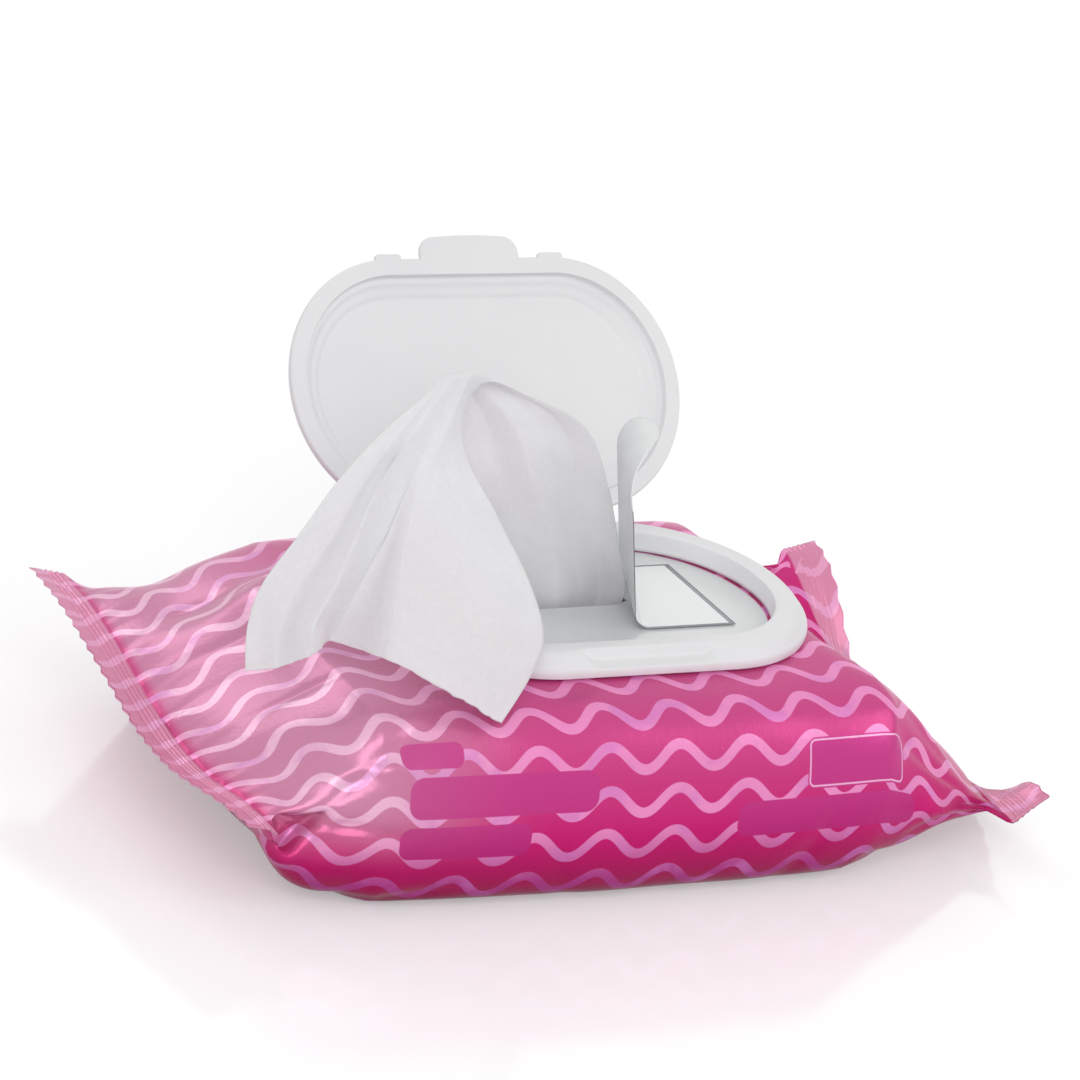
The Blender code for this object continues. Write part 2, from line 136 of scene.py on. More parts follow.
def makePiece(name, points, faces, material, flatPlaces=None):
    # points in mm, faces as lists of corners, flatPlaces as one (u, v) in metres for each face corner
    mesh = bpy.data.meshes.new(name)
    faceList = [list(map(int, face)) for face in faces]
    mesh.from_pydata((np.asarray(points).reshape(-1, 3) / metre).tolist(), [], faceList)
    if flatPlaces is not None:
        layer = mesh.uv_layers.new(name="flat")
        layer.data.foreach_set("uv", np.asarray(flatPlaces, np.float32).ravel())
    mesh.materials.append(material)
    mesh.shade_smooth()
    mesh.validate()
    return addObject(name, mesh)


def thicken(piece, thickness, offset):
    # a wall of so many mm on a sheet: all behind its face at offset -1, half on each side at 0
    wall = piece.modifiers.new("wall", "SOLIDIFY")
    wall.thickness = thickness / metre
    wall.offset = offset
    return wall


def joined(parts):
    # several (points, faces) as one: each part's corner numbers move on by the points before it
    points, faces, before = [], [], 0
    for partPoints, partFaces in parts:
        flat = np.asarray(partPoints).reshape(-1, 3)
        points.append(flat)
        faces += [[int(corner) + before for corner in face] for face in partFaces]
        before += len(flat)
    return np.concatenate(points), faces


def roundOutline(length, depth, corner, arcSteps, straightSteps):
    # a rounded rectangle, anticlockwise from its front: points of the inner core and the way out from each
    a, b = length / 2 - corner, depth / 2 - corner
    corners = np.array([[-a, -b], [a, -b], [a, b], [-a, b]])
    cores, ways = [], []
    for side in range(4):
        start, end = corners[side], corners[(side + 1) % 4]
        angle = math.radians(90.0 * side - 90.0)
        if np.linalg.norm(end - start) > 1e-6:
            share = np.arange(straightSteps)[:, None] / straightSteps
            cores.append(start + (end - start) * share)
            ways.append(np.tile([math.cos(angle), math.sin(angle)], (straightSteps, 1)))
        turn = angle + np.arange(arcSteps) / arcSteps * math.pi / 2
        cores.append(np.tile(end, (arcSteps, 1)))
        ways.append(np.stack([np.cos(turn), np.sin(turn)], 1))
    return np.concatenate(cores), np.concatenate(ways)


def carried(profile, outline, corner):
    # each (inset, height) of the profile makes the outline smaller by inset at that height
    cores, ways = outline
    insets, heights = np.asarray(profile, float).T
    flat = cores[None] + ways[None] * (corner - insets)[:, None, None]
    return np.concatenate([flat, np.broadcast_to(heights[:, None, None], flat.shape[:2] + (1,))], 2)


def capFaces(rows, columns):
    # a flat face over an outline's first copy and one over its last
    return [list(range(columns))[::-1], list(range((rows - 1) * columns, rows * columns))]


def shellFaces(rows, columns):
    # the walls between an outline's copies, then the two flat faces
    return gridQuads(rows, columns, True)[0][:, ::-1].tolist() + capFaces(rows, columns)


def roundedPlate(length, depth, corner, low, high, edge):
    # a plate with rounded corners and quarter-round edges, as carried profile
    turn = np.linspace(0.0, math.pi / 2, 5)
    under = [(edge * (1 - math.sin(t)), low + edge * (1 - math.cos(t))) for t in turn]
    over = [(edge * (1 - math.cos(t)), high - edge * (1 - math.sin(t))) for t in turn]
    outline = roundOutline(length, depth, corner, 8, 3)
    points = carried(under + over, outline, corner)
    return points, shellFaces(*points.shape[:2])


def rodAlongX(radius, low, high, edge, centre):
    # a round bar: a plate whose height runs along X
    points, faces = roundedPlate(2 * radius, 2 * radius, radius, low, high, edge)
    return points[..., [2, 0, 1]] + np.array(centre), faces


# Materials

def tone(red, green, blue):
    # a screen colour of 0 to 255 as linear light
    parts = np.array([red, green, blue]) / 255.0
    linear = np.where(parts <= 0.04045, parts / 12.92, ((parts + 0.055) / 1.055) ** 2.4)
    return (*linear.tolist(), 1.0)


def feed(tree, socket, value):
    if isinstance(value, bpy.types.NodeSocket):
        tree.links.new(value, socket)
    elif value is not None:
        socket.default_value = value


def put(tree, kind, inputs=None, **settings):
    made = tree.nodes.new(kind)
    for key, value in settings.items():
        setattr(made, key, value)
    for key, value in (inputs or {}).items():
        feed(tree, made.inputs[key], value)
    return made


def calc(tree, operation, first, second=None, third=None):
    made = tree.nodes.new("ShaderNodeMath")
    made.operation = operation
    for socket, value in zip(made.inputs, (first, second, third)):
        feed(tree, socket, value)
    return made.outputs[0]


def fade(tree, value, low, high):
    # S curve from 0 at low to 1 at high
    made = put(tree, "ShaderNodeMapRange", {"From Min": low, "From Max": high},
               interpolation_type="SMOOTHSTEP")
    feed(tree, made.inputs["Value"], value)
    return made.outputs["Result"]


def mixTones(tree, share, first, second):
    made = put(tree, "ShaderNodeMix", data_type="RGBA")
    feed(tree, made.inputs[0], share)
    feed(tree, made.inputs[6], first)
    feed(tree, made.inputs[7], second)
    return made.outputs[2]


def setPlain(shader, values):
    for key, value in values.items():
        shader.inputs[key].default_value = value


def noise(tree, place, scale, detail=3.0):
    return put(tree, "ShaderNodeTexNoise", {"Vector": place, "Scale": scale, "Detail": detail}).outputs["Fac"]


def newMaterial(name):
    made = bpy.data.materials.new(name)
    made.use_nodes = True
    return made, made.node_tree, made.node_tree.nodes["Principled BSDF"]


def newGroup(name, inputs, outputs):
    # a node group with named number inputs and outputs
    group = bpy.data.node_groups.new(name, "ShaderNodeTree")
    for label, value in inputs.items():
        socket = group.interface.new_socket(label, in_out="INPUT", socket_type="NodeSocketFloat")
        socket.default_value = value
    for label in outputs:
        group.interface.new_socket(label, in_out="OUTPUT", socket_type="NodeSocketFloat")
    return group, group.nodes.new("NodeGroupInput"), group.nodes.new("NodeGroupOutput")


def makeGrainGroup():
    # fine uneven skin: a coarse and a fine noise on Object coordinates, as a height and a 0 to 1 patchiness
    group, start, end = newGroup("surfaceGrain", {"Coarse": 60.0, "Fine": 1500.0}, ("Height", "Patch"))
    place = put(group, "ShaderNodeTexCoord").outputs["Object"]
    coarse = noise(group, place, start.outputs["Coarse"], 3.0)
    fine = noise(group, place, start.outputs["Fine"], 2.0)
    height = calc(group, "MULTIPLY_ADD", coarse, 0.7, calc(group, "MULTIPLY", fine, 0.3))
    feed(group, end.inputs["Height"], height)
    feed(group, end.inputs["Patch"], coarse)
    return group


grainGroup = makeGrainGroup()


def grain(tree, coarse, fine):
    made = tree.nodes.new("ShaderNodeGroup")
    made.node_tree = grainGroup
    setPlain(made, {"Coarse": coarse, "Fine": fine})
    return made


def bump(tree, shader, height, strength, distance):
    made = put(tree, "ShaderNodeBump", {"Strength": strength, "Distance": distance, "Height": height})
    feed(tree, shader.inputs["Normal"], made.outputs["Normal"])


def finishSkin(tree, shader, colour, skin, roughness, relief):
    # roughness is its spread over the patches and its lowest value, relief a strength and a depth in metres
    feed(tree, shader.inputs["Base Color"], colour)
    feed(tree, shader.inputs["Roughness"], calc(tree, "MULTIPLY_ADD", skin.outputs["Patch"], *roughness))
    bump(tree, shader, skin.outputs["Height"], *relief)


def flatPlace(tree):
    # the two parts of the place on the flat sheet, in metres
    flat = put(tree, "ShaderNodeUVMap", uv_map="flat").outputs["UV"]
    split = put(tree, "ShaderNodeSeparateXYZ", {"Vector": flat})
    return split.outputs["X"], split.outputs["Y"]


def seenDirectly(tree):
    # 1 for rays from the camera, a gloss or clear glass
    light = put(tree, "ShaderNodeLightPath")
    looking = calc(tree, "MAXIMUM", light.outputs["Is Camera Ray"], light.outputs["Is Glossy Ray"])
    return calc(tree, "MAXIMUM", looking, light.outputs["Is Transmission Ray"])


# Print on the pouch film, in metres of flat film: u along the pack, v round it from the top's middle
printed = {
    "wavelength": 0.0168, "swing": 0.00245, "pitch": 0.0090, "shift": -1.75, "rowStart": 0.0018,
    "stripe": 0.0022, "stripeSoft": 0.00012,
    # plates are given as middle u, middle v, length and depth: the white one under the closure,
    # the bare ones on the front panel, and the outlined one
    "field": (closureX / metre, 0.0, 0.0885, 0.0500),
    "plates": ((-0.0578, -0.0489, 0.0140, 0.0052), (-0.0410, -0.0575, 0.0440, 0.0086),
               (-0.0490, -0.0671, 0.0300, 0.0070), (0.0404, -0.0658, 0.0490, 0.0076)),
    "frame": (0.0464, -0.0549, 0.0275, 0.0107), "plateRound": 0.36, "frameRound": 0.0018,
    "frameInset": 0.0005, "frameLine": 0.00038, "frameSoft": 0.0001, "plateSoft": (0.00015, -0.0001),
}
# screen colours; the ground's go up with the height over the table
filmTones = {
    "groundLow": (112, 0, 52), "groundHigh": (200, 76, 136), "groundReach": 0.042,
    "groundBetween": ((0.14, (160, 0, 80)), (0.40, (196, 20, 110)), (0.75, (206, 66, 134))),
    # the ground's and the stripes' pale tones here are painted reflection, mixed in over the left wedge
    "groundPale": (204, 146, 174), "stripeLow": (168, 40, 130), "stripeHigh": (238, 146, 200),
    "stripePale": (238, 196, 216), "stripeLilac": (206, 122, 196), "plateLow": (168, 12, 108),
    "plateHigh": (196, 60, 138), "frameLine": (238, 176, 214), "field": (226, 228, 228),
    "seal": (228, 178, 200),
}


def plateDistance(tree, u, v, plate, corner):
    # distance outside a rounded rectangle, negative inside
    middleU, middleV, length, depth = plate
    awayU = calc(tree, "ABSOLUTE", calc(tree, "SUBTRACT", u, middleU))
    awayV = calc(tree, "ABSOLUTE", calc(tree, "SUBTRACT", v, middleV))
    outU = calc(tree, "SUBTRACT", awayU, length / 2 - corner)
    outV = calc(tree, "SUBTRACT", awayV, depth / 2 - corner)
    pastU = calc(tree, "MAXIMUM", outU, 0.0)
    pastV = calc(tree, "MAXIMUM", outV, 0.0)
    far = calc(tree, "SQRT", calc(tree, "ADD", calc(tree, "MULTIPLY", pastU, pastU),
                                  calc(tree, "MULTIPLY", pastV, pastV)))
    inside = calc(tree, "MINIMUM", calc(tree, "MAXIMUM", outU, outV), 0.0)
    return calc(tree, "SUBTRACT", calc(tree, "ADD", far, inside), corner)


def inPlate(tree, u, v, plate, corner):
    # 1 inside a rounded rectangle, with a soft edge
    return fade(tree, plateDistance(tree, u, v, plate, corner), *printed["plateSoft"])


def makeFilmMaterial():
    material, tree, shader = newMaterial("printedFilm")
    u, v = flatPlace(tree)
    place = put(tree, "ShaderNodeSeparateXYZ", {"Vector": put(tree, "ShaderNodeTexCoord").outputs["Object"]})
    x, z = place.outputs["X"], place.outputs["Z"]
    tones = {key: value if key in ("groundReach", "groundBetween") else tone(*value)
             for key, value in filmTones.items()}
    # wave: v moves by swing times the sine of u, and its slope narrows the band so its width stays even
    turn = calc(tree, "MULTIPLY_ADD", u, 2 * math.pi / printed["wavelength"], printed["shift"])
    wave = calc(tree, "MULTIPLY_ADD", calc(tree, "SINE", turn), printed["swing"], v)
    steep = calc(tree, "MULTIPLY", calc(tree, "COSINE", turn),
                 printed["swing"] * 2 * math.pi / printed["wavelength"])
    widen = calc(tree, "SQRT", calc(tree, "MULTIPLY_ADD", steep, steep, 1.0))
    row = calc(tree, "DIVIDE", calc(tree, "ADD", wave, printed["rowStart"]), printed["pitch"])
    near = calc(tree, "ABSOLUTE", calc(tree, "SUBTRACT", calc(tree, "FRACT", row), 0.5))
    away = calc(tree, "DIVIDE", calc(tree, "MULTIPLY", near, printed["pitch"]), widen)
    half, soft = printed["stripe"] / 2, printed["stripeSoft"]
    stripe = fade(tree, away, half + soft, half - soft)
    # bare plates: the outlined one, then the others
    bare = inPlate(tree, u, v, printed["frame"], printed["frameRound"])
    for plate in printed["plates"]:
        bare = calc(tree, "MAXIMUM", bare, inPlate(tree, u, v, plate, plate[3] * printed["plateRound"]))
    frameDistance = plateDistance(tree, u, v, printed["frame"], printed["frameRound"])
    onLine = calc(tree, "ABSOLUTE", calc(tree, "ADD", frameDistance, printed["frameInset"]))
    half, soft = printed["frameLine"] / 2, printed["frameSoft"]
    line = fade(tree, onLine, half + soft, half - soft)
    stripe = calc(tree, "MULTIPLY", stripe, calc(tree, "SUBTRACT", 1.0, bare))
    # ground: dusty pink above, deep magenta towards the table, with a painted pale reflection over the left
    # wedge
    heights = put(tree, "ShaderNodeValToRGB", {"Fac": calc(tree, "DIVIDE", z, tones["groundReach"])})
    ramp = heights.color_ramp
    ramp.elements[0].color, ramp.elements[1].color = tones["groundLow"], tones["groundHigh"]
    for position, colour in tones["groundBetween"]:
        ramp.elements.new(position).color = tone(*colour)
    # the painted reflection is held back in the fold along a seal, so the fold keeps the deep ground colour
    # as a painted dark line
    fromSeal = put(tree, "ShaderNodeAttribute", attribute_name="fromSeal").outputs["Fac"]
    # painted reflection: the upper film of the left wedge is mixed towards pale tones, standing in for a
    # reflection haze
    leftPaintedReflection = calc(tree, "MULTIPLY", fade(tree, x, -0.030, -0.078), fade(tree, z, 0.010, 0.026))
    leftPaintedReflection = calc(tree, "MULTIPLY", leftPaintedReflection, fade(tree, fromSeal, -0.0006, 0.0026))
    leftPaintedReflection = calc(tree, "MULTIPLY", leftPaintedReflection, 0.82)
    ground = mixTones(tree, leftPaintedReflection, heights.outputs["Color"], tones["groundPale"])
    skin = grain(tree, 90.0, 900.0)
    light = mixTones(tree, fade(tree, z, 0.004, 0.022), tones["stripeLow"], tones["stripeHigh"])
    # the stripes get the same painted reflection
    light = mixTones(tree, leftPaintedReflection, light, tones["stripePale"])
    lilac = calc(tree, "MULTIPLY", fade(tree, skin.outputs["Patch"], 0.48, 0.64), 0.5)
    light = mixTones(tree, lilac, light, tones["stripeLilac"])
    colour = mixTones(tree, calc(tree, "MULTIPLY", stripe, 0.92), ground, light)
    plateTone = mixTones(tree, fade(tree, z, 0.004, 0.030), tones["plateLow"], tones["plateHigh"])
    colour = mixTones(tree, calc(tree, "MULTIPLY", bare, 0.75), colour, plateTone)
    colour = mixTones(tree, line, colour, tones["frameLine"])
    onTop = inPlate(tree, u, v, printed["field"], printed["field"][3] / 2)
    colour = mixTones(tree, onTop, colour, tones["field"])
    # crimped seals are milky, because the sealing melts the film
    sealed = fade(tree, fromSeal, 0.0004, -0.0004)
    colour = mixTones(tree, calc(tree, "MULTIPLY", sealed, 0.55), colour, tones["seal"])
    finishSkin(tree, shader, colour, skin, (0.16, 0.22), (0.25, 0.0008))
    setPlain(shader, {"Metallic": 0.30, "Specular IOR Level": 0.12, "Coat Weight": 0.06,
                      "Coat Roughness": 0.10})
    return material


def makeClosureMaterial():
    # moulded white polypropylene: faint flow patches, a fine satin skin
    material, tree, shader = newMaterial("whiteClosure")
    skin = grain(tree, 45.0, 2200.0)
    colour = mixTones(tree, skin.outputs["Patch"], tone(225, 225, 227), tone(233, 233, 234))
    finishSkin(tree, shader, colour, skin, (0.12, 0.34), (0.10, 0.0004))
    setPlain(shader, {"Specular IOR Level": 0.4})
    return material


label = {"length": 69.0, "depth": 28.4, "middleY": 1.9, "end": 32.5, "stuck": 14.9, "skew": 24.5,
         "foldRadius": 4.6, "flapAngle": 74.0, "curlAngle": 128.0, "curlLength": 17.0, "corner": 11.0,
         "thickness": 0.22, "margin": 1.35, "marginSoft": 0.12, "sideMargin": 2.4}


def makeLabelMaterials():
    # outer face: glossy white with a grey metallic margin, partly the label's silver edge and partly painted
    # shade along its edges. UV is flat film in metres from the stuck end
    material, tree, shader = newMaterial("labelFace")
    fromEnd, sideways = flatPlace(tree)
    fromSide = calc(tree, "SUBTRACT", label["depth"] / 2 / metre, calc(tree, "ABSOLUTE", sideways))
    # the margin along the sides is this much narrower than the one at the end
    toEdge = calc(tree, "MINIMUM", fromEnd, calc(tree, "MULTIPLY", fromSide, label["sideMargin"]))
    margin, soft = label["margin"] / metre, label["marginSoft"] / metre
    # the grey band at the edges is partly painted shade, partly the silver edge
    white = fade(tree, toEdge, margin - soft, margin + soft)
    colour = mixTones(tree, white, tone(142, 148, 152), tone(236, 238, 238))
    finishSkin(tree, shader, colour, grain(tree, 70.0, 1200.0), (0.10, 0.16), (0.12, 0.0006))
    feed(tree, shader.inputs["Metallic"], calc(tree, "MULTIPLY_ADD", white, -0.75, 0.75))
    setPlain(shader, {"Coat Weight": 0.3})
    # adhesive side: grey, a little blotchy and duller
    back, tree, shader = newMaterial("labelAdhesive")
    skin = grain(tree, 160.0, 1600.0)
    colour = mixTones(tree, skin.outputs["Patch"], tone(220, 223, 224), tone(234, 236, 236))
    finishSkin(tree, shader, colour, skin, (0.25, 0.30), (0.3, 0.0005))
    return material, back


def makeClothMaterial():
    # nonwoven: long fibres as a stretched noise, small hollows of the entangling jets, soft mottle
    material, tree, shader = newMaterial("moistNonwoven")
    flat = put(tree, "ShaderNodeUVMap", uv_map="flat").outputs["UV"]
    lengthwise = put(tree, "ShaderNodeMapping", {"Vector": flat, "Scale": (2600.0, 420.0, 1.0)})
    crosswise = put(tree, "ShaderNodeMapping", {"Vector": flat, "Scale": (520.0, 2300.0, 1.0),
                                                "Rotation": (0.0, 0.0, 0.5)})
    fibres = calc(tree, "ADD", noise(tree, lengthwise.outputs["Vector"], 1.0),
                  noise(tree, crosswise.outputs["Vector"], 1.0))
    hollows = put(tree, "ShaderNodeTexVoronoi", {"Vector": flat, "Scale": 900.0})
    height = calc(tree, "MULTIPLY_ADD", hollows.outputs["Distance"], 0.5, fibres)
    mottle = calc(tree, "MULTIPLY", noise(tree, flat, 120.0), 0.4)
    shade = calc(tree, "MULTIPLY_ADD", fibres, 0.35, mottle)
    colour = mixTones(tree, fade(tree, shade, 0.35, 0.85), tone(222, 222, 224), tone(232, 232, 234))
    feed(tree, shader.inputs["Base Color"], colour)
    # light passes through one layer, so the cloth scatters it inside
    setPlain(shader, {"Roughness": 0.82, "Specular IOR Level": 0.25, "Sheen Weight": 0.15,
                      "Subsurface Weight": 0.6, "Subsurface Radius": (1.0, 1.0, 1.0),
                      "Subsurface Scale": 0.0016})
    bump(tree, shader, height, 0.18, 0.0002)
    return material


filmMaterial = makeFilmMaterial()
closureMaterial = makeClosureMaterial()
labelFace, labelAdhesive = makeLabelMaterials()
clothMaterial = makeClothMaterial()
print("materials made")


# Camera: the photograph's own view, fitted to the closure and the lid
seen = {"yaw": 35.2, "elevation": 23.15, "roll": 12.95, "distance": 1200.0, "pixelsPerMm": 4.72,
        "closureRight": 38.3, "closureDown": 64.7, "framePixels": 1080.0, "sensor": 36.0}


def viewAxes():
    # right, up and back of the camera from yaw, elevation and roll
    yaw, rise, roll = (math.radians(seen[key]) for key in ("yaw", "elevation", "roll"))
    back = np.array([-math.sin(yaw) * math.cos(rise), -math.cos(yaw) * math.cos(rise), math.sin(rise)])
    level = np.array([math.cos(yaw), -math.sin(yaw), 0.0])
    upright = np.cross(back, level)
    right = math.cos(roll) * level + math.sin(roll) * upright
    up = math.cos(roll) * upright - math.sin(roll) * level
    return right, up, back


viewRight, viewUp, viewBack = viewAxes()
eye = (closureCentre + viewBack * seen["distance"] - viewRight * seen["closureRight"] / seen["pixelsPerMm"]
       + viewUp * seen["closureDown"] / seen["pixelsPerMm"])


def pointSeenAt(pixels, nearer):
    # the point behind a photo pixel whose distance is nearer mm less than the closure's
    focal = seen["distance"] * seen["pixelsPerMm"]
    fromMiddle = (np.asarray(pixels, float) - seen["framePixels"] / 2) / focal
    ray = viewRight * fromMiddle[..., :1] - viewUp * fromMiddle[..., 1:] - viewBack
    return eye + ray * (seen["distance"] - np.asarray(nearer, float)[..., None])


def makeCamera():
    lens = bpy.data.cameras.new("photoCamera")
    lens.sensor_width = seen["sensor"]
    lens.lens = seen["distance"] * seen["pixelsPerMm"] / seen["framePixels"] * seen["sensor"]
    lens.clip_end = 20.0
    camera = addObject("photoCamera", lens)
    turnTo(camera, viewRight, viewUp, viewBack, eye / metre)
    bpy.context.scene.camera = camera


makeCamera()


# Pouch: a loaf section carried along the pack, pressed flat into a crimped seal at each end
pouch = {
    "rows": {"fin": 26, "wedge": 42, "middle": 92}, "columns": 400, "wedgeEnd": 60.0,
    "root": 94.5, "end": pouchHigh[0], "finHalf": 48.5, "finHeight": 20.0, "finThickness": 0.5,
    # where the wedges start along X, under the pack and on its top, and how much further out at three places
    "leftStart": (65.5, 68.5), "rightStart": (57.0, 52.0), "frontFaceStart": 5.0, "nearFrontStart": -10.0,
    "farTopStart": -16.0, "bellyPower": 0.9,
    # how the seals rise and slope: a plain value, then growths as a size and two places along Y
    "leftRise": (9.5, -10.0, 38.0), "leftSlope": 0.22,
    "rightRise": (-11.4, (2.0, -45.0, -15.0), (16.0, 20.0, 47.0)),
    "rightSlope": (-0.85, (1.6, -26.0, -44.0), (1.1, 20.0, 40.0)),
    "ridgePitch": 1.25, "ridgeHeight": 0.2, "ridgeEnd": 5.2,
    "toothPitch": 3.7, "toothDepth": 0.8, "gusset": 10.0, "frontBulge": 3.5, "cornerSag": 3.5,
    "mouth": (closureX - 5.5, 4.5, 38.0, 10.0),
}
halfDepth = (pouchHigh[1] - pouchLow[1]) / 2 + 0.4
topHeight = pouchHigh[2]
loafAcross = np.array([0.0, 0.46, 0.86, 0.965, 1.0, 0.985, 0.94, 0.865, 0.75, 0.37])
loafUp = np.array([0.0, 0.0, 0.0, 0.07, 0.27, 0.5, 0.73, 0.91, 1.0, 1.0])
# creases in the film, in mm of flat film: start, end, half width and depth
creases = (
    ((-81.0, -60.0), (-95.0, -79.0), 1.3, -2.2), ((-77.5, -61.0), (-91.5, -81.0), 1.7, 0.9),
    ((-84.0, -58.0), (-50.0, -38.0), 2.2, -0.9), ((-86.0, -62.0), (-62.0, -66.0), 1.6, -0.8),
    ((-80.0, -50.0), (-58.0, -52.0), 1.8, 0.7), ((-88.0, -20.0), (-66.0, -24.0), 1.5, -0.5),
    ((-88.0, 8.0), (-70.0, 4.0), 1.6, -0.5), ((-87.0, 30.0), (-68.0, 26.0), 1.8, -0.6),
    ((86.0, -56.0), (60.0, -50.0), 2.0, -0.9), ((84.0, -48.0), (64.0, -40.0), 1.7, 0.7),
    ((86.0, -66.0), (66.0, -74.0), 2.0, -0.9), ((88.0, -20.0), (64.0, -30.0), 1.9, -0.6),
    ((88.0, 14.0), (66.0, 20.0), 1.9, -0.6), ((30.0, -84.0), (44.0, -62.0), 2.4, -0.35),
    ((-20.0, -86.0), (-30.0, -64.0), 2.6, -0.3), ((70.0, -84.0), (52.0, -78.0), 1.8, -0.7),
    ((-74.0, -84.0), (-48.0, -78.0), 2.2, -0.6), ((-60.0, 56.0), (-84.0, 62.0), 2.2, -0.8),
    ((60.0, 56.0), (84.0, 64.0), 2.2, -0.8), ((-10.0, 62.0), (6.0, 84.0), 2.6, -0.35),
)


def loafColumns():
    # equal steps of girth round the full section, from the bottom's middle up the front and over to the back
    front = np.stack([-loafAcross, loafUp], 1)
    back = np.stack([loafAcross, loafUp], 1)[:0:-1]
    knots = np.concatenate([front, [[0.0, 1.0]], back])
    fine = np.linspace(0.0, len(knots), 4001)
    line = curveThrough(knots, fine, closed=True, passing=False) * [halfDepth, topHeight]
    girth = np.concatenate([[0.0], np.cumsum(np.linalg.norm(np.diff(line, axis=0), axis=1))])
    steps = np.linspace(0.0, girth[-1], pouch["columns"] + 1)
    across = np.interp(steps, girth, line[:, 0]) / halfDepth
    up = np.interp(steps, girth, line[:, 1]) / topHeight
    return across, up, steps - girth[-1] / 2


def pouchPlaces():
    # the row places along X, close together in the seals and wedges
    rows = pouch["rows"]
    fin = np.linspace(pouch["end"], pouch["root"], rows["fin"], endpoint=False)
    wedge = np.linspace(pouch["root"], pouch["wedgeEnd"], rows["wedge"], endpoint=False)
    middle = np.linspace(pouch["wedgeEnd"], -pouch["wedgeEnd"], rows["middle"], endpoint=False)
    return -np.concatenate([fin, wedge, middle, -wedge[::-1], -fin[::-1]])


def creaseDepth(u, v):
    # each crease: a bell across its line that fades out at both ends
    total = np.zeros_like(u)
    for start, end, width, depth in creases:
        start, end = np.array(start), np.array(end)
        way = end - start
        share = ((u - start[0]) * way[0] + (v - start[1]) * way[1]) / (way @ way)
        held = np.clip(share, 0.0, 1.0)
        far = np.hypot(u - start[0] - held * way[0], v - start[1] - held * way[1])
        total += depth * np.exp(-(far / width) ** 2) * np.sin(np.pi * np.clip(0.1 + 0.8 * held, 0.0, 1.0))
    return total


def filmRipple(u, v, x):
    # soft swells over the whole film, and gathers that run out from the seals
    dice = np.random.default_rng(7)
    total = np.zeros_like(u)
    for wave in range(18):
        way = dice.uniform(0.0, math.pi)
        length = dice.uniform(16.0, 52.0)
        swing = 0.0042 * length * dice.uniform(0.4, 1.0)
        phase = dice.uniform(0.0, 2 * math.pi)
        total += swing * np.sin(2 * math.pi * (u * math.cos(way) + v * math.sin(way)) / length + phase)
    under = smoothStep(70.0, 92.0, np.abs(v))
    total *= 1.0 - 0.9 * under
    total *= 0.45 + 0.75 * smoothStep(48.0, 80.0, np.abs(x))
    fromRoot = pouch["root"] - np.abs(x)
    gather = np.where(fromRoot > 0.0, np.exp(-np.abs(fromRoot) / 8.0), 0.25)
    for length, swing, phase in ((9.7, 0.15, 0.4), (6.1, 0.10, 2.1), (4.3, 0.06, 4.4)):
        total += gather * swing * np.sin(2 * math.pi * v / length + phase + 0.05 * x + np.sign(x) * 1.3)
    return total


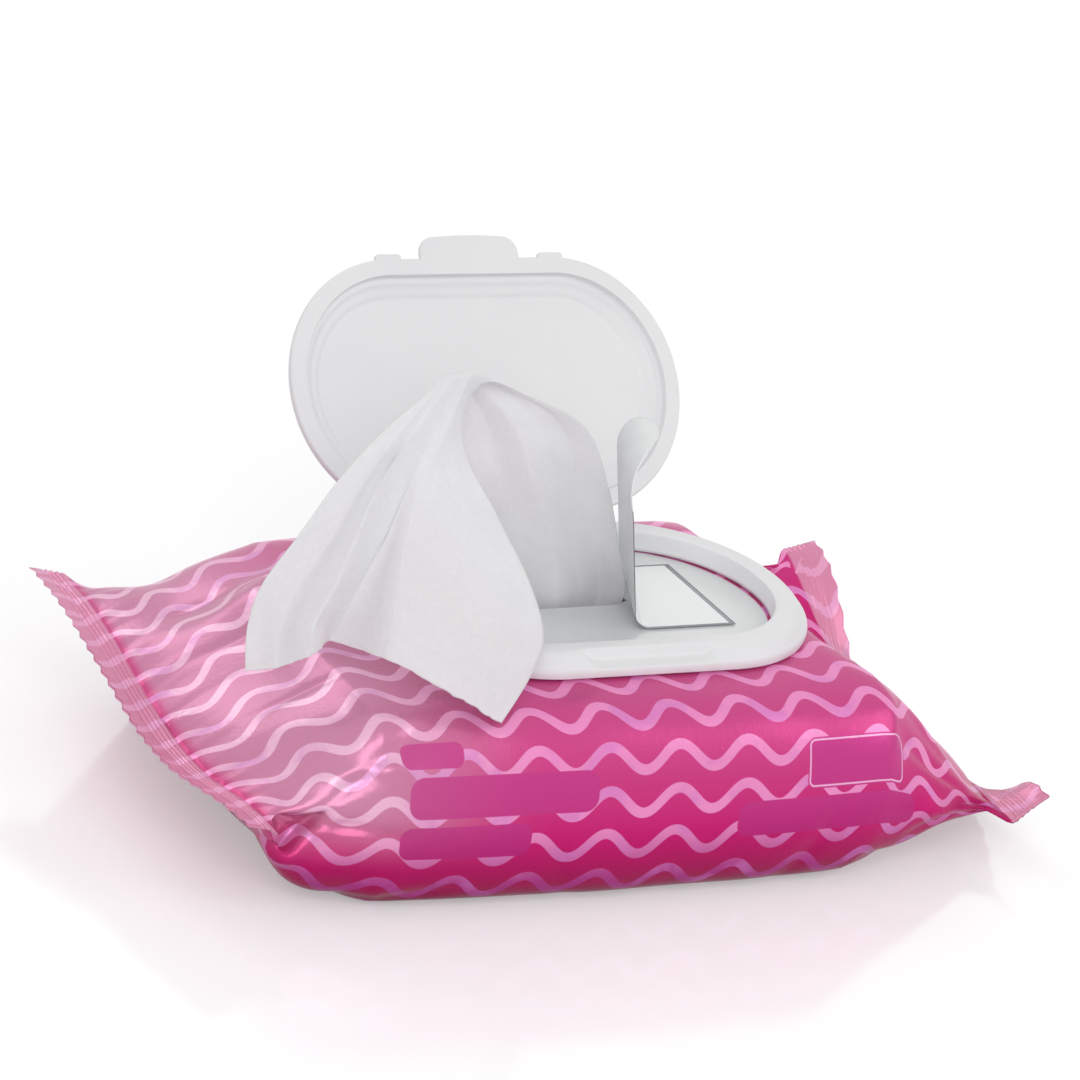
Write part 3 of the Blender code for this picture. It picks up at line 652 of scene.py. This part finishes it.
def makePouch():
    x = pouchPlaces()
    across, up, v = loafColumns()
    across, up = across[:-1], up[:-1]
    columns = pouch["columns"]
    size = np.abs(x)
    isLeft = (x < 0)[:, None]
    low = 1.0 - up
    # flat tube of the seal: columns go out and back at an even pace, above and below the seal's middle
    quarter = np.arange(columns) / columns
    tubeY = pouch["finHalf"] * np.interp(quarter, [0.0, 0.25, 0.75, 1.0], [0.0, -1.0, 1.0, 0.0])
    tubeUp = np.clip(16.0 * (0.25 - np.abs(quarter - 0.5)), -1.0, 1.0)
    # wedge: straight lines from the full section to the seal, each with its own start
    lowStart, highStart = np.where(isLeft, pouch["leftStart"], pouch["rightStart"]).T[..., None]
    nearFront = smoothStep(0.10, 0.17, quarter) * (quarter < 0.5) * ~isLeft
    farTop = smoothStep(0.55, 0.62, quarter) * up * isLeft
    frontFace = smoothStep(0.17, 0.23, quarter) * smoothStep(0.44, 0.34, quarter) * ~isLeft
    start = (lowStart + (highStart - lowStart) * up + pouch["frontFaceStart"] * frontFace
             + pouch["nearFrontStart"] * nearFront * low + pouch["farTopStart"] * farTop)
    past = size[:, None] - start
    pressed = past / (pouch["root"] - start)
    pressed = np.clip(pressed, 0.0, 1.0) + 0.018 * np.exp(-(pressed / 0.10) ** 2)
    pressed = np.minimum(pressed, 1.0) * smoothStep(-0.25, 0.05, past / 25.0)
    tubeZ = pouch["finHeight"] + tubeUp[None] * pouch["finThickness"] / 2
    y = across[None] * halfDepth * (1 - pressed) + tubeY[None] * pressed
    # low film rises late, so the belly stays full until it is near the seal
    late = pressed ** (1.0 + pouch["bellyPower"] * low * (1.0 - nearFront))
    # seals: the far end of the left one stands up; the right one is low in front and high at its far end
    onFin = size[:, None] - pouch["root"]
    pastRoot = np.maximum(onFin, 0.0)
    leftLift = growth(pouch["leftRise"], tubeY) + pouch["leftSlope"] * pastRoot
    rightRise, rightSlope = (spec[0] + sum(growth(grown, tubeY) for grown in spec[1:])
                             for spec in (pouch["rightRise"], pouch["rightSlope"]))
    lift = np.where(isLeft, leftLift, rightRise + rightSlope * pastRoot)
    z = up[None] * topHeight * (1 - late) + (tubeZ + lift) * late
    # side gussets fold inwards between the full section and the seal
    for side in (0.25, 0.75):
        near = np.exp(-((quarter - side) / 0.022) ** 2)[None]
        tuck = smoothStep(68.0, 89.0, size) * (1.0 - smoothStep(89.0, pouch["root"] + 0.5, size))
        tuck = tuck[:, None] * np.where(isLeft, 1.0, 0.5)
        y -= np.sign(side - 0.5) * pouch["gusset"] * near * tuck
    # the far left shoulder of the bag has sunk a little
    z = z - 1.0 * up[None] * smoothStep(12.0, 46.0, y) * smoothStep(-30.0, -60.0, x)[:, None]
    # the front's belly leans out a little towards the right
    front = smoothStep(-20.0, -48.0, y) * hump(-70.0, 96.0, x)[:, None]
    y -= pouch["frontBulge"] * front * (1.0 - 0.35 * up[None])
    grown = np.repeat(x[:, None], columns, 1)
    # pulled seals: their near and far ends lie a little inwards
    byEnd = np.where(isLeft[:, 0], smoothStep(72.0, 96.0, size), smoothStep(60.0, 95.0, size))[:, None]
    leftPull = 4.5 * smoothStep(-18.0, -50.0, y)
    rightPull = -1.0 * smoothStep(-18.0, -50.0, y) - 5.0 * smoothStep(10.0, 45.0, y)
    z = z + 0.5 * byEnd * np.sin(y / 7.3 + 1.0)
    grown = grown + np.where(isLeft, leftPull, rightPull) * byEnd
    # the near left corner of the bag sags out under its seal
    sag = smoothStep(-28.0, -48.0, y) * low * hump(72.0, 97.0, -x)[:, None]
    grown = grown - pouch["cornerSag"] * 1.5 * sag
    z = z - pouch["cornerSag"] * sag
    ridge = smoothStep(0.0, 0.8, onFin) * (1 - smoothStep(pouch["ridgeEnd"] - 0.6, pouch["ridgeEnd"], onFin))
    z = z + pouch["ridgeHeight"] * ridge * np.sin(2 * math.pi * onFin / pouch["ridgePitch"])
    tooth = np.abs((y / pouch["toothPitch"]) % 1.0 - 0.5) * 2.0 - 0.5
    outer = smoothStep(pouch["end"] - pouch["root"] - 2.6, pouch["end"] - pouch["root"], onFin)
    grown = grown + np.sign(grown) * pouch["toothDepth"] * tooth * outer
    points = np.stack([grown, y, z], 2)
    # flat film: u is the length along the top's middle line, v the girth
    u = np.concatenate([[0.0], np.cumsum(np.hypot(np.diff(x), np.diff(z[:, columns // 2])))])
    u -= np.interp(0.0, x, u)
    flatU = np.repeat(u[:, None], columns, 1)
    flatV = np.repeat(v[None, :-1], len(x), 0)
    move = creaseDepth(flatU, flatV) + filmRipple(flatU, flatV, x[:, None])
    quiet = 1.0 - 0.8 * smoothStep(0.0, 4.0, onFin)
    under = (1.0 - smoothStep(0.3, 2.5, z)) * (size[:, None] < 70.0)
    byClosure = smoothStep(60.0, 50.0, np.abs(grown - closureX)) * smoothStep(40.0, 33.0, np.abs(y))
    loose = 1.0 - 0.85 * byClosure * (np.abs(flatV) < 60.0)
    points += gridNormals(points, True) * (move * quiet * (1.0 - under) * loose)[..., None]
    points[..., 2] = np.maximum(points[..., 2], 0.0)
    # die-cut mouth: corners near its outline move onto it, and the faces inside go
    mouthX, mouthY, mouthLength, mouthDepth = pouch["mouth"]
    straight = (mouthLength - mouthDepth) / 2
    outX = points[..., 0] - mouthX
    overX = outX - np.clip(outX, -straight, straight)
    overY = points[..., 1] - mouthY
    far = np.hypot(overX, overY)
    outside = far - mouthDepth / 2
    onTop = np.abs(flatV) < 40.0
    snap = onTop & (np.abs(outside) < 0.55)
    shrink = np.where(snap, outside / np.maximum(far, 1e-6), 0.0)
    points[..., 0] -= overX * shrink
    points[..., 1] -= overY * shrink
    outside = np.where(onTop, np.where(snap, 0.0, outside), 9.0)
    quads, cornerRows, cornerColumns = gridQuads(len(x), columns, True)
    kept = outside.ravel()[quads].mean(1) > -0.02
    quads, cornerRows, cornerColumns = quads[kept], cornerRows[kept], cornerColumns[kept]
    cornerPlaces = np.stack([u[cornerRows], v[cornerColumns]], -1)
    # each seal's open edge closes between the column above and the one below it
    steps = np.arange(-columns // 4, columns // 4)
    lower = np.stack([steps, steps + 1, columns // 2 - steps - 1, columns // 2 - steps], 1) % columns
    capPlaces = []
    caps = []
    for row, turned in ((0, False), (len(x) - 1, True)):
        corners = lower if turned else lower[:, ::-1]
        caps.append(row * columns + corners)
        capPlaces.append(np.stack([np.full(corners.shape, u[row]), v[corners]], -1))
    faces = np.concatenate([quads] + caps)
    places = np.concatenate([cornerPlaces] + capPlaces).reshape(-1, 2) / metre
    piece = makePiece("pouchFilm", points, faces, filmMaterial, places)
    # how far each point is from the seal's root along the film, in metres, negative on the seal
    fromSeal = piece.data.attributes.new("fromSeal", "FLOAT", "POINT")
    fromSeal.data.foreach_set("value", np.repeat(-onFin / metre, columns).astype(np.float32))
    return piece


pouchFilm = makePouch()
print("pouch made")


# Closure: ring, hinge ears, and the lid that is shaped closed and turned open about the hinge
closure = {"length": ringHigh[0] - ringLow[0], "depth": -2 * ringLow[1], "height": 4.8, "edge": 1.3,
           "slope": 3.4, "opening": 7.7, "notchHalf": 16.0, "notchFloor": 1.9, "arcSteps": 48,
           "straightSteps": 60}
hingeParts = {"knuckleRadius": 1.7, "knuckleHalf": 12.0, "pinRadius": 0.8, "pinReach": 2.6, "earWidth": 3.2,
              "earRadius": 2.1, "gap": 0.3}
lidShape = {"inset": 3.7, "dish": 3.3, "wall": 2.0, "rim": 3.8, "step": 0.9, "edge": 1.3, "panel": 8.7,
            "tabWidth": 25.0, "tabReach": 4.5, "tabBow": 0.7, "tabRoot": 3.5, "tabThickness": 1.3,
            "tabCorner": 3.4, "catchWidth": 6.4, "catchReach": 1.1, "catchRoot": 2.2, "catchX": 20.6,
            "openAngle": 129.0, "axisDrop": 0.6, "webRoot": 1.5}


def softProfile(knots, steps):
    # a smooth line through the knots of a moulding's section
    return curveThrough(knots, np.linspace(0.0, len(knots) - 1.0, (len(knots) - 1) * steps + 1))


def stadium(profile, length, depth):
    # a profile carried round a stadium of this length and depth
    outline = roundOutline(length, depth, depth / 2, closure["arcSteps"], closure["straightSteps"])
    return carried(profile, outline, depth / 2)


def makeRing():
    top, opening, slope = closure["height"], closure["opening"], closure["slope"]
    shoulder = softProfile([(0.0, 0.05), (0.0, closure["edge"] - 0.2), (0.3, closure["edge"] + 0.65),
                            (1.0, closure["edge"] + 1.35), (slope * 0.62, top - 1.0),
                            (slope * 0.95, top - 0.28), (slope * 1.3, top), (opening - 1.7, top),
                            (opening - 0.75, top - 0.04),
                            (opening - 0.2, top - 0.3), (opening, top - 0.9), (opening, 0.05)], 4)
    points = stadium(shoulder, closure["length"], closure["depth"])
    # finger notch: a scoop in the shoulder at the front, with soft ends and a wall at the seat
    inset = np.asarray(shoulder)[:, 0][:, None]
    scoop = smoothStep(closure["notchHalf"] + 2.0, closure["notchHalf"] - 3.0, np.abs(points[..., 0]))
    scoop = scoop * (points[..., 1] < 0.0) * smoothStep(slope + 0.55, slope - 0.1, inset)
    floorLine = closure["notchFloor"] + 0.12 * inset
    points[..., 2] -= np.maximum(points[..., 2] - floorLine, 0.0) * scoop
    points[..., 0] += closureX
    points[..., 2] += filmTop
    # the section closes underneath, so the last line joins the first
    rows, columns = points.shape[:2]
    walls = gridQuads(rows, columns, True)[0][:, ::-1]
    last = (rows - 1) * columns
    step = np.arange(columns)
    following = (step + 1) % columns
    under = np.stack([last + step, last + following, following, step], 1)
    parts = [(points, np.concatenate([walls, under]))]
    for side in (-1, 1):
        near = hingeParts["knuckleHalf"] + hingeParts["gap"]
        low, high = sorted((side * near, side * (near + hingeParts["earWidth"])))
        radius = hingeParts["earRadius"]
        height = hinge[2] + radius - filmTop - 0.6
        ear, earFaces = roundedPlate(2 * radius, height, radius * 0.98, low, high, 0.35)
        middle = (hinge[2] + radius + filmTop + 0.6) / 2
        ear = np.stack([ear[..., 2] + closureX, ear[..., 0] + hinge[1], ear[..., 1] + middle], -1)
        parts.append((ear, earFaces))
    return makePiece("closureRing", *joined(parts), closureMaterial)


def lidProfile():
    # section above the rim plane: flat panel under the dish, fillet, groove, rim, edge and domed top
    s = lidShape
    top = s["dish"] + s["wall"]
    dish, panel, rim, step, edge = (s[key] for key in ("dish", "panel", "rim", "step", "edge"))
    return softProfile([(panel + 0.4, dish), (panel - 0.4, dish - 0.05), (panel - 1.3, dish - 0.5),
                        (rim + 2.2, step + 1.5), (rim + 1.3, step + 0.95), (rim + 0.35, step + 0.75),
                        (rim + 0.02, step + 0.25), (rim - 0.12, 0.1), (rim - 0.5, 0.0), (0.75, 0.0),
                        (0.2, 0.12), (0.0, 0.5), (0.0, edge), (0.4, edge + 0.8), (1.6, edge + 1.6),
                        (rim, top - 1.3), (panel - 2.4, top - 0.42), (panel - 0.6, top - 0.1),
                        (panel + 1.2, top)], 4)


def turnedOpen(points):
    # from the closed lid's own place to its open one: about the hinge line by the open angle
    angle = -math.radians(lidShape["openAngle"])
    y = points[..., 1] - hinge[1]
    z = points[..., 2] + lidShape["axisDrop"]
    return np.stack([points[..., 0] + closureX,
                     hinge[1] + y * math.cos(angle) - z * math.sin(angle),
                     hinge[2] + y * math.sin(angle) + z * math.cos(angle)], -1)


def makeLid():
    s = lidShape
    length, depth = closure["length"] - 2 * s["inset"], closure["depth"] - 2 * s["inset"]
    shell = stadium(lidProfile(), length, depth)
    # the rear edge steps in round the two ears
    earMiddle = hingeParts["knuckleHalf"] + hingeParts["gap"] + hingeParts["earWidth"] / 2
    room = hingeParts["earWidth"] / 2 + hingeParts["gap"]
    besideEar = 1.0 - smoothStep(room, room + 0.8, np.abs(np.abs(shell[..., 0]) - earMiddle))
    limit = hinge[1] - hingeParts["earRadius"] - 0.6
    shell[..., 1] -= np.maximum(shell[..., 1] - limit, 0.0) * besideEar
    parts = [(shell, shellFaces(*shell.shape[:2]))]
    front = -depth / 2
    tab, tabFaces = roundedPlate(s["tabWidth"], s["tabReach"] + s["tabRoot"], s["tabCorner"],
                                 0.1, 0.1 + s["tabThickness"], 0.45)
    # its free edge bows outwards
    bow = 1.0 - (tab[..., 0] * 2.0 / s["tabWidth"]) ** 2
    tab[..., 1] -= s["tabBow"] * bow * smoothStep(0.0, -2.0, tab[..., 1])
    tab = tab + np.array([0.0, front + (s["tabRoot"] - s["tabReach"]) / 2, 0.0])
    parts.append((tab, tabFaces))
    for side in (-1, 1):
        deep = s["catchReach"] + s["catchRoot"]
        catch, catchFaces = roundedPlate(s["catchWidth"], deep, 0.9, 0.1, 1.3, 0.35)
        catchY = front + (s["catchRoot"] - s["catchReach"]) / 2
        parts.append((catch + np.array([side * s["catchX"], catchY, 0.0]), catchFaces))
    half, radius = hingeParts["knuckleHalf"], hingeParts["knuckleRadius"]
    axis = (0.0, hinge[1], -s["axisDrop"])
    parts.append(rodAlongX(radius, -half, half, 0.3, axis))
    reach = half + hingeParts["pinReach"]
    parts.append(rodAlongX(hingeParts["pinRadius"], -reach, reach, 0.2, axis))
    # a web from the rim back to the knuckle
    webStart = depth / 2 - s["webRoot"]
    web, webFaces = roundedPlate(2 * half, hinge[1] - webStart, 0.6, -0.1, radius * 0.92 - s["axisDrop"], 0.2)
    parts.append((web + np.array([0.0, (hinge[1] + webStart) / 2, 0.0]), webFaces))
    points, faces = joined(parts)
    return makePiece("hingedLid", turnedOpen(points), faces, closureMaterial)


closureRing = makeRing()
hingedLid = makeLid()
print("closure made")


# Reseal label: flat where it is stuck, rolled up at a skewed fold, its rounded tab curling over
def makeLabel():
    rows, columns = 150, 45
    reach = np.linspace(0.0, label["length"], rows)
    past = np.maximum(reach - (label["length"] - label["corner"]), 0.0) / label["corner"]
    half = label["depth"] / 2 * np.sqrt(np.maximum(1.0 - 0.96 * past ** 2, 0.0))
    share = np.linspace(-1.0, 1.0, columns)
    flatX = np.repeat((label["end"] - reach)[:, None], columns, 1)
    sideways = half[:, None] * share[None]
    flatY = label["middleY"] + sideways
    skew = math.radians(label["skew"])
    along = np.array([math.sin(skew), math.cos(skew)])
    away = np.array([-math.cos(skew), math.sin(skew)])
    foldX = label["end"] - label["stuck"]
    offX, offY = flatX - foldX, flatY - label["middleY"]
    lengthwise = offX * along[0] + offY * along[1]
    distance = offX * away[0] + offY * away[1]
    # the film's turn grows over the fold and again over the tab; its path is the sum of small steps
    steps = np.linspace(0.0, label["length"], 1400)
    foldEnd = label["foldRadius"] * math.radians(label["flapAngle"])
    curlStart = label["length"] - label["stuck"] - label["curlLength"]
    curled = np.clip((steps - curlStart) / label["curlLength"], 0.0, 1.0) ** 1.5
    turn = (math.radians(label["flapAngle"]) * np.clip(steps / foldEnd, 0.0, 1.0)
            + math.radians(label["curlAngle"]) * curled)
    step = steps[1]
    outPath = np.concatenate([[0.0], np.cumsum(np.cos(turn[:-1]) * step)])
    upPath = np.concatenate([[0.0], np.cumsum(np.sin(turn[:-1]) * step)])
    lifted = np.maximum(distance, 0.0)
    out = np.minimum(distance, 0.0) + np.interp(lifted, steps, outPath)
    up = np.interp(lifted, steps, upPath)
    x = closureX + foldX + along[0] * lengthwise + away[0] * out
    y = label["middleY"] + along[1] * lengthwise + away[1] * out
    wave = 0.35 * smoothStep(6.0, 30.0, lifted) * np.sin(lengthwise / 5.1 + lifted / 11.0)
    points = np.stack([x + wave, y, filmTop + 0.15 + up], 2)
    quads, cornerRows, cornerColumns = (corners[:, ::-1] for corners in gridQuads(rows, columns, False))
    places = np.stack([reach[cornerRows], sideways[cornerRows, cornerColumns]], -1).reshape(-1, 2) / metre
    piece = makePiece("resealLabel", points, quads, labelFace, places)
    piece.data.materials.append(labelAdhesive)
    thicken(piece, label["thickness"], -1.0).material_offset = 1
    return piece


resealLabel = makeLabel()
print("label made")


# Drawn wipe: rises from the mouth to its crest and hangs over the front left in folds
wipe = {"rows": 190, "columns": 121, "thickness": 0.38, "mouthX": -4.0, "crisp": 0.6}
# rising part, from the stack up: places in mm from the mouth's middle on the film, left edge to right edge
risingRows = (
    ((-18, 1, -6), (-12, 3, -6), (-6, 2, -6), (0, 0.5, -6), (5, 2, -6), (10, 3, -6), (15, 1, -6)),
    ((-18, 2.5, 2), (-12, 4.5, 2), (-6, 3, 2), (-0.5, 1.5, 2), (5, 3.5, 2), (11, 4.5, 2), (16.5, 2, 2)),
    ((-24, 0, 14), (-18, 2, 14), (-12, 2, 14), (-5.5, 0, 14), (0, 1.5, 13.5), (6, 2, 12.5), (11.5, 0, 12)),
    ((-32, -2, 29), (-26, 0, 29), (-20, 1.5, 29), (-14, 0, 29), (-8, 1, 29), (-1.5, 2, 28.5), (4.5, 0, 28)),
    ((-40, -3, 43), (-35, -1, 43), (-29, 1, 44), (-23, 0, 43.5), (-17, 1, 43.5), (-11, 1.5, 43),
     (-4.5, 0, 42)),
    ((-46, -4.8, 55.4), (-43.2, -3, 55.3), (-40, -1.5, 55), (-36, -1, 54.5), (-32, -0.8, 53.5),
     (-26.5, -0.5, 51.5), (-19, 0, 49)),
)
# hanging part, from the crest to the hem: photo pixels and mm nearer than the closure, one line each
hangingLines = {
    "leftEdge": ((430, 392, 56.8), (385, 430, 63.6), (339, 479, 66.9), (300, 533, 69), (262, 585, 69.3),
                 (247, 628, 67.5), (245, 672, 67)),
    "leftPanel": ((441, 386, 55.5), (400, 434, 61.5), (362, 487, 65), (328, 545, 67), (294, 598, 68),
                  (281, 636, 68), (281, 667, 68)),
    "firstRidge": ((450, 382, 54.5), (414, 432, 61.5), (386, 470, 66), (360, 528, 69.5), (336, 584, 71.5),
                   (314, 625, 72.5), (313, 655, 72.5)),
    "valley": ((460, 379, 52.5), (430, 438, 56.5), (404, 490, 57.5), (380, 545, 58), (354, 594, 58),
               (336, 628, 58), (331, 641, 58)),
    "secondRidge": ((470, 377, 51), (444, 436, 55), (420, 492, 57.5), (405, 545, 60.5), (397, 598, 63),
                    (392, 636, 64.5), (388, 660, 65)),
    "rightPanel": ((477, 379, 48.5), (454, 440, 51.5), (460, 502, 51.5), (466, 560, 52), (470, 612, 55),
                   (464, 658, 59), (450, 692, 63)),
    "rightEdge": ((481, 384, 46.5), (462, 443, 48.5), (497, 518, 46), (529, 582, 43.5), (544, 636, 44.5),
                  (531, 676, 50), (501, 724, 60.5)),
}


def makeDrawnWipe():
    rising = np.array(risingRows, float)
    rising = rising + np.array([closureX + wipe["mouthX"], 0.0, filmTop])
    lines = np.array(list(hangingLines.values()), float)
    hanging = pointSeenAt(lines[..., :2], lines[..., 2]).transpose(1, 0, 2)
    net = np.concatenate([rising, hanging])
    down = np.linspace(0.0, len(net) - 1.0, wipe["rows"])
    wide = np.linspace(0.0, net.shape[1] - 1.0, wipe["columns"])
    rows = curveThrough(net, down)
    lines = rows.transpose(1, 0, 2)
    soft = curveThrough(lines, wide).transpose(1, 0, 2)
    whole = np.clip(np.floor(wide).astype(int), 0, net.shape[1] - 2)
    part = (wide - whole)[:, None, None]
    straight = (lines[whole] * (1 - part) + lines[whole + 1] * part).transpose(1, 0, 2)
    points = soft + (straight - soft) * wipe["crisp"]
    # soft creases: long shallow waves that follow the fall of the cloth
    c = (wide / wide[-1])[None]
    r = (down / down[-1])[:, None]
    hangs = smoothStep(0.45, 0.8, r)
    wave = (0.22 * np.sin(2 * math.pi * (4.0 * c + 0.6 * r)) * hangs
            + 0.12 * np.sin(2 * math.pi * (8.0 * c - 1.1 * r) + 1.0) * (0.25 + 0.75 * hangs)
            + 0.30 * np.sin(2 * math.pi * (2.2 * c + 1.7 * r) + 0.6))
    rowWidth = np.linalg.norm(np.diff(points, axis=1), axis=2).sum(1)[:, None]
    calm = smoothStep(0.0, 0.1, r) * smoothStep(18.0, 46.0, rowWidth)
    points += gridNormals(points, False) * (wave * calm)[..., None]
    # the cut hem is a little uneven
    nibble = np.random.default_rng(11).uniform(-0.9, 0.9, wipe["columns"] + 2)
    nibble = np.convolve(nibble, np.ones(3) / 3, "valid")
    points[-1] += (points[-1] - points[-4]) * nibble[:, None] * 0.35
    stepDown = np.linalg.norm(np.diff(points, axis=0), axis=2).mean(1)
    stepWide = np.linalg.norm(np.diff(points, axis=1), axis=2).mean(0)
    lengths = np.concatenate([[0.0], np.cumsum(stepDown)])
    widths = np.concatenate([[0.0], np.cumsum(stepWide)])
    quads, cornerRows, cornerColumns = gridQuads(len(down), len(wide), False)
    places = np.stack([widths[cornerColumns], lengths[cornerRows]], -1).reshape(-1, 2) / metre
    print("drawn wipe: width", round(widths[-1], 1), "length", round(lengths[-1], 1))
    piece = makePiece("drawnWipe", points, quads, clothMaterial, places)
    thicken(piece, wipe["thickness"], 0.0)
    return piece


def makeStack():
    # folded wipes lying on each other: a rounded block whose side goes in between one wipe and the next
    layers, perLayer = 24, 6
    length, depth = stackHigh[0] - stackLow[0], stackHigh[1] - stackLow[1]
    share = np.linspace(0.0, 1.0, layers * perLayer + 1)
    height = stackLow[2] + (stackHigh[2] - stackLow[2]) * share
    dent = 0.45 * (1.0 - np.abs(np.sin(math.pi * share * layers)))
    toFace = np.maximum(np.abs(share - 0.5) * 2 - 0.7, 0.0) / 0.3
    rounding = 5.0 * (1.0 - np.sqrt(np.maximum(1.0 - toFace ** 2, 0.0)))
    outline = roundOutline(length, depth, 9.0, 8, 24)
    points = carried(np.stack([dent + rounding, height], 1), outline, 9.0)
    # the film presses the top down at both ends
    middleX = (stackLow[0] + stackHigh[0]) / 2
    pressed = smoothStep(44.0, length / 2, np.abs(points[..., 0] - middleX)) * share[:, None] ** 2
    points[..., 2] -= 6.0 * pressed
    quads, cornerRows, cornerColumns = gridQuads(len(points), points.shape[1], True)
    quads, cornerRows, cornerColumns = quads[:, ::-1], cornerRows[:, ::-1], cornerColumns[:, ::-1]
    caps = capFaces(*points.shape[:2])
    sidePlaces = np.stack([cornerColumns * 4.0, height[cornerRows]], -1).reshape(-1, 2)
    flat = points.reshape(-1, 3)[:, :2]
    capPlaces = np.concatenate([flat[caps[0]], flat[caps[1]]])
    places = np.concatenate([sidePlaces, capPlaces]) / metre
    return makePiece("wipeStack", points, quads.tolist() + caps, clothMaterial, places)


drawnWipe = makeDrawnWipe()
wipeStack = makeStack()
print("wipes made")


# Studio: a pale floor, soft lamps, an even white room
studio = {
    "floorReach": 9000.0, "floorTone": (216, 216, 217), "floorRoughness": 0.13, "floorSpecular": 0.85,
    # strengths where the floor or the room is seen directly, over what they give as light
    "floorGlow": 0.34, "roomSeen": 0.36, "roomLight": 0.64, "aim": (0.0, 0.0, 0.03),
    # each lamp's place and width in metres, and its power in watts
    "lamps": {"mainLamp": ((-0.75, -1.2, 1.05), 1.1, 10.0), "backLamp": ((-0.3, 1.5, 1.3), 1.1, 5.0),
              "sideLamp": ((1.4, -0.9, 0.9), 0.9, 4.0)},
}
white = (1.0, 1.0, 1.0, 1.0)


def makeFloor():
    material, tree, shader = newMaterial("paleFloor")
    setPlain(shader, {"Base Color": tone(*studio["floorTone"]), "Roughness": studio["floorRoughness"],
                      "Specular IOR Level": studio["floorSpecular"]})
    strength = calc(tree, "MULTIPLY", seenDirectly(tree), studio["floorGlow"])
    glow = put(tree, "ShaderNodeEmission", {"Color": white, "Strength": strength})
    total = put(tree, "ShaderNodeAddShader")
    feed(tree, total.inputs[0], shader.outputs["BSDF"])
    feed(tree, total.inputs[1], glow.outputs["Emission"])
    feed(tree, tree.nodes["Material Output"].inputs["Surface"], total.outputs["Shader"])
    corners = np.array([[-1, -1, 0], [1, -1, 0], [1, 1, 0], [-1, 1, 0]]) * studio["floorReach"]
    return makePiece("studioFloor", corners, [(0, 1, 2, 3)], material)


def makeLamp(name, place, width, power):
    data = bpy.data.lights.new(name, "AREA")
    data.shape = "DISK"
    data.size = width
    data.energy = power
    back = np.array(place) - np.array(studio["aim"])
    back = back / np.linalg.norm(back)
    side = np.cross([0.0, 0.0, 1.0], back)
    side = side / np.linalg.norm(side)
    turnTo(addObject(name, data), side, np.cross(back, side), back, place)


def makeWorld():
    world = bpy.data.worlds.new("whiteRoom")
    bpy.context.scene.world = world
    world.use_nodes = True
    tree = world.node_tree
    tree.nodes.clear()
    strength = calc(tree, "MULTIPLY_ADD", seenDirectly(tree), studio["roomSeen"], studio["roomLight"])
    sky = put(tree, "ShaderNodeBackground", {"Color": white, "Strength": strength})
    end = put(tree, "ShaderNodeOutputWorld")
    feed(tree, end.inputs["Surface"], sky.outputs["Background"])


studioFloor = makeFloor()
makeWorld()
for name, (place, width, power) in studio["lamps"].items():
    makeLamp(name, place, width, power)
bpy.context.scene.view_settings.view_transform = "Standard"
print("studio made")


# What each piece stands for and rides on
for piece, body, node, slot in (
        (pouchFilm, "pack", "pouch", "pouch_film"), (closureRing, "pack", "closure_ring", "closure_plastic"),
        (hingedLid, "lid", "lid", "closure_plastic"), (resealLabel, "pack", "reseal_label", "label_film"),
        (drawnWipe, "pack", "pulled_wipe", "nonwoven"), (wipeStack, "pack", "wipe_stack", "nonwoven")):
    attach(piece, body)
    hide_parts(node)
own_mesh(drawnWipe)
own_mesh(resealLabel)
print("pieces in place")
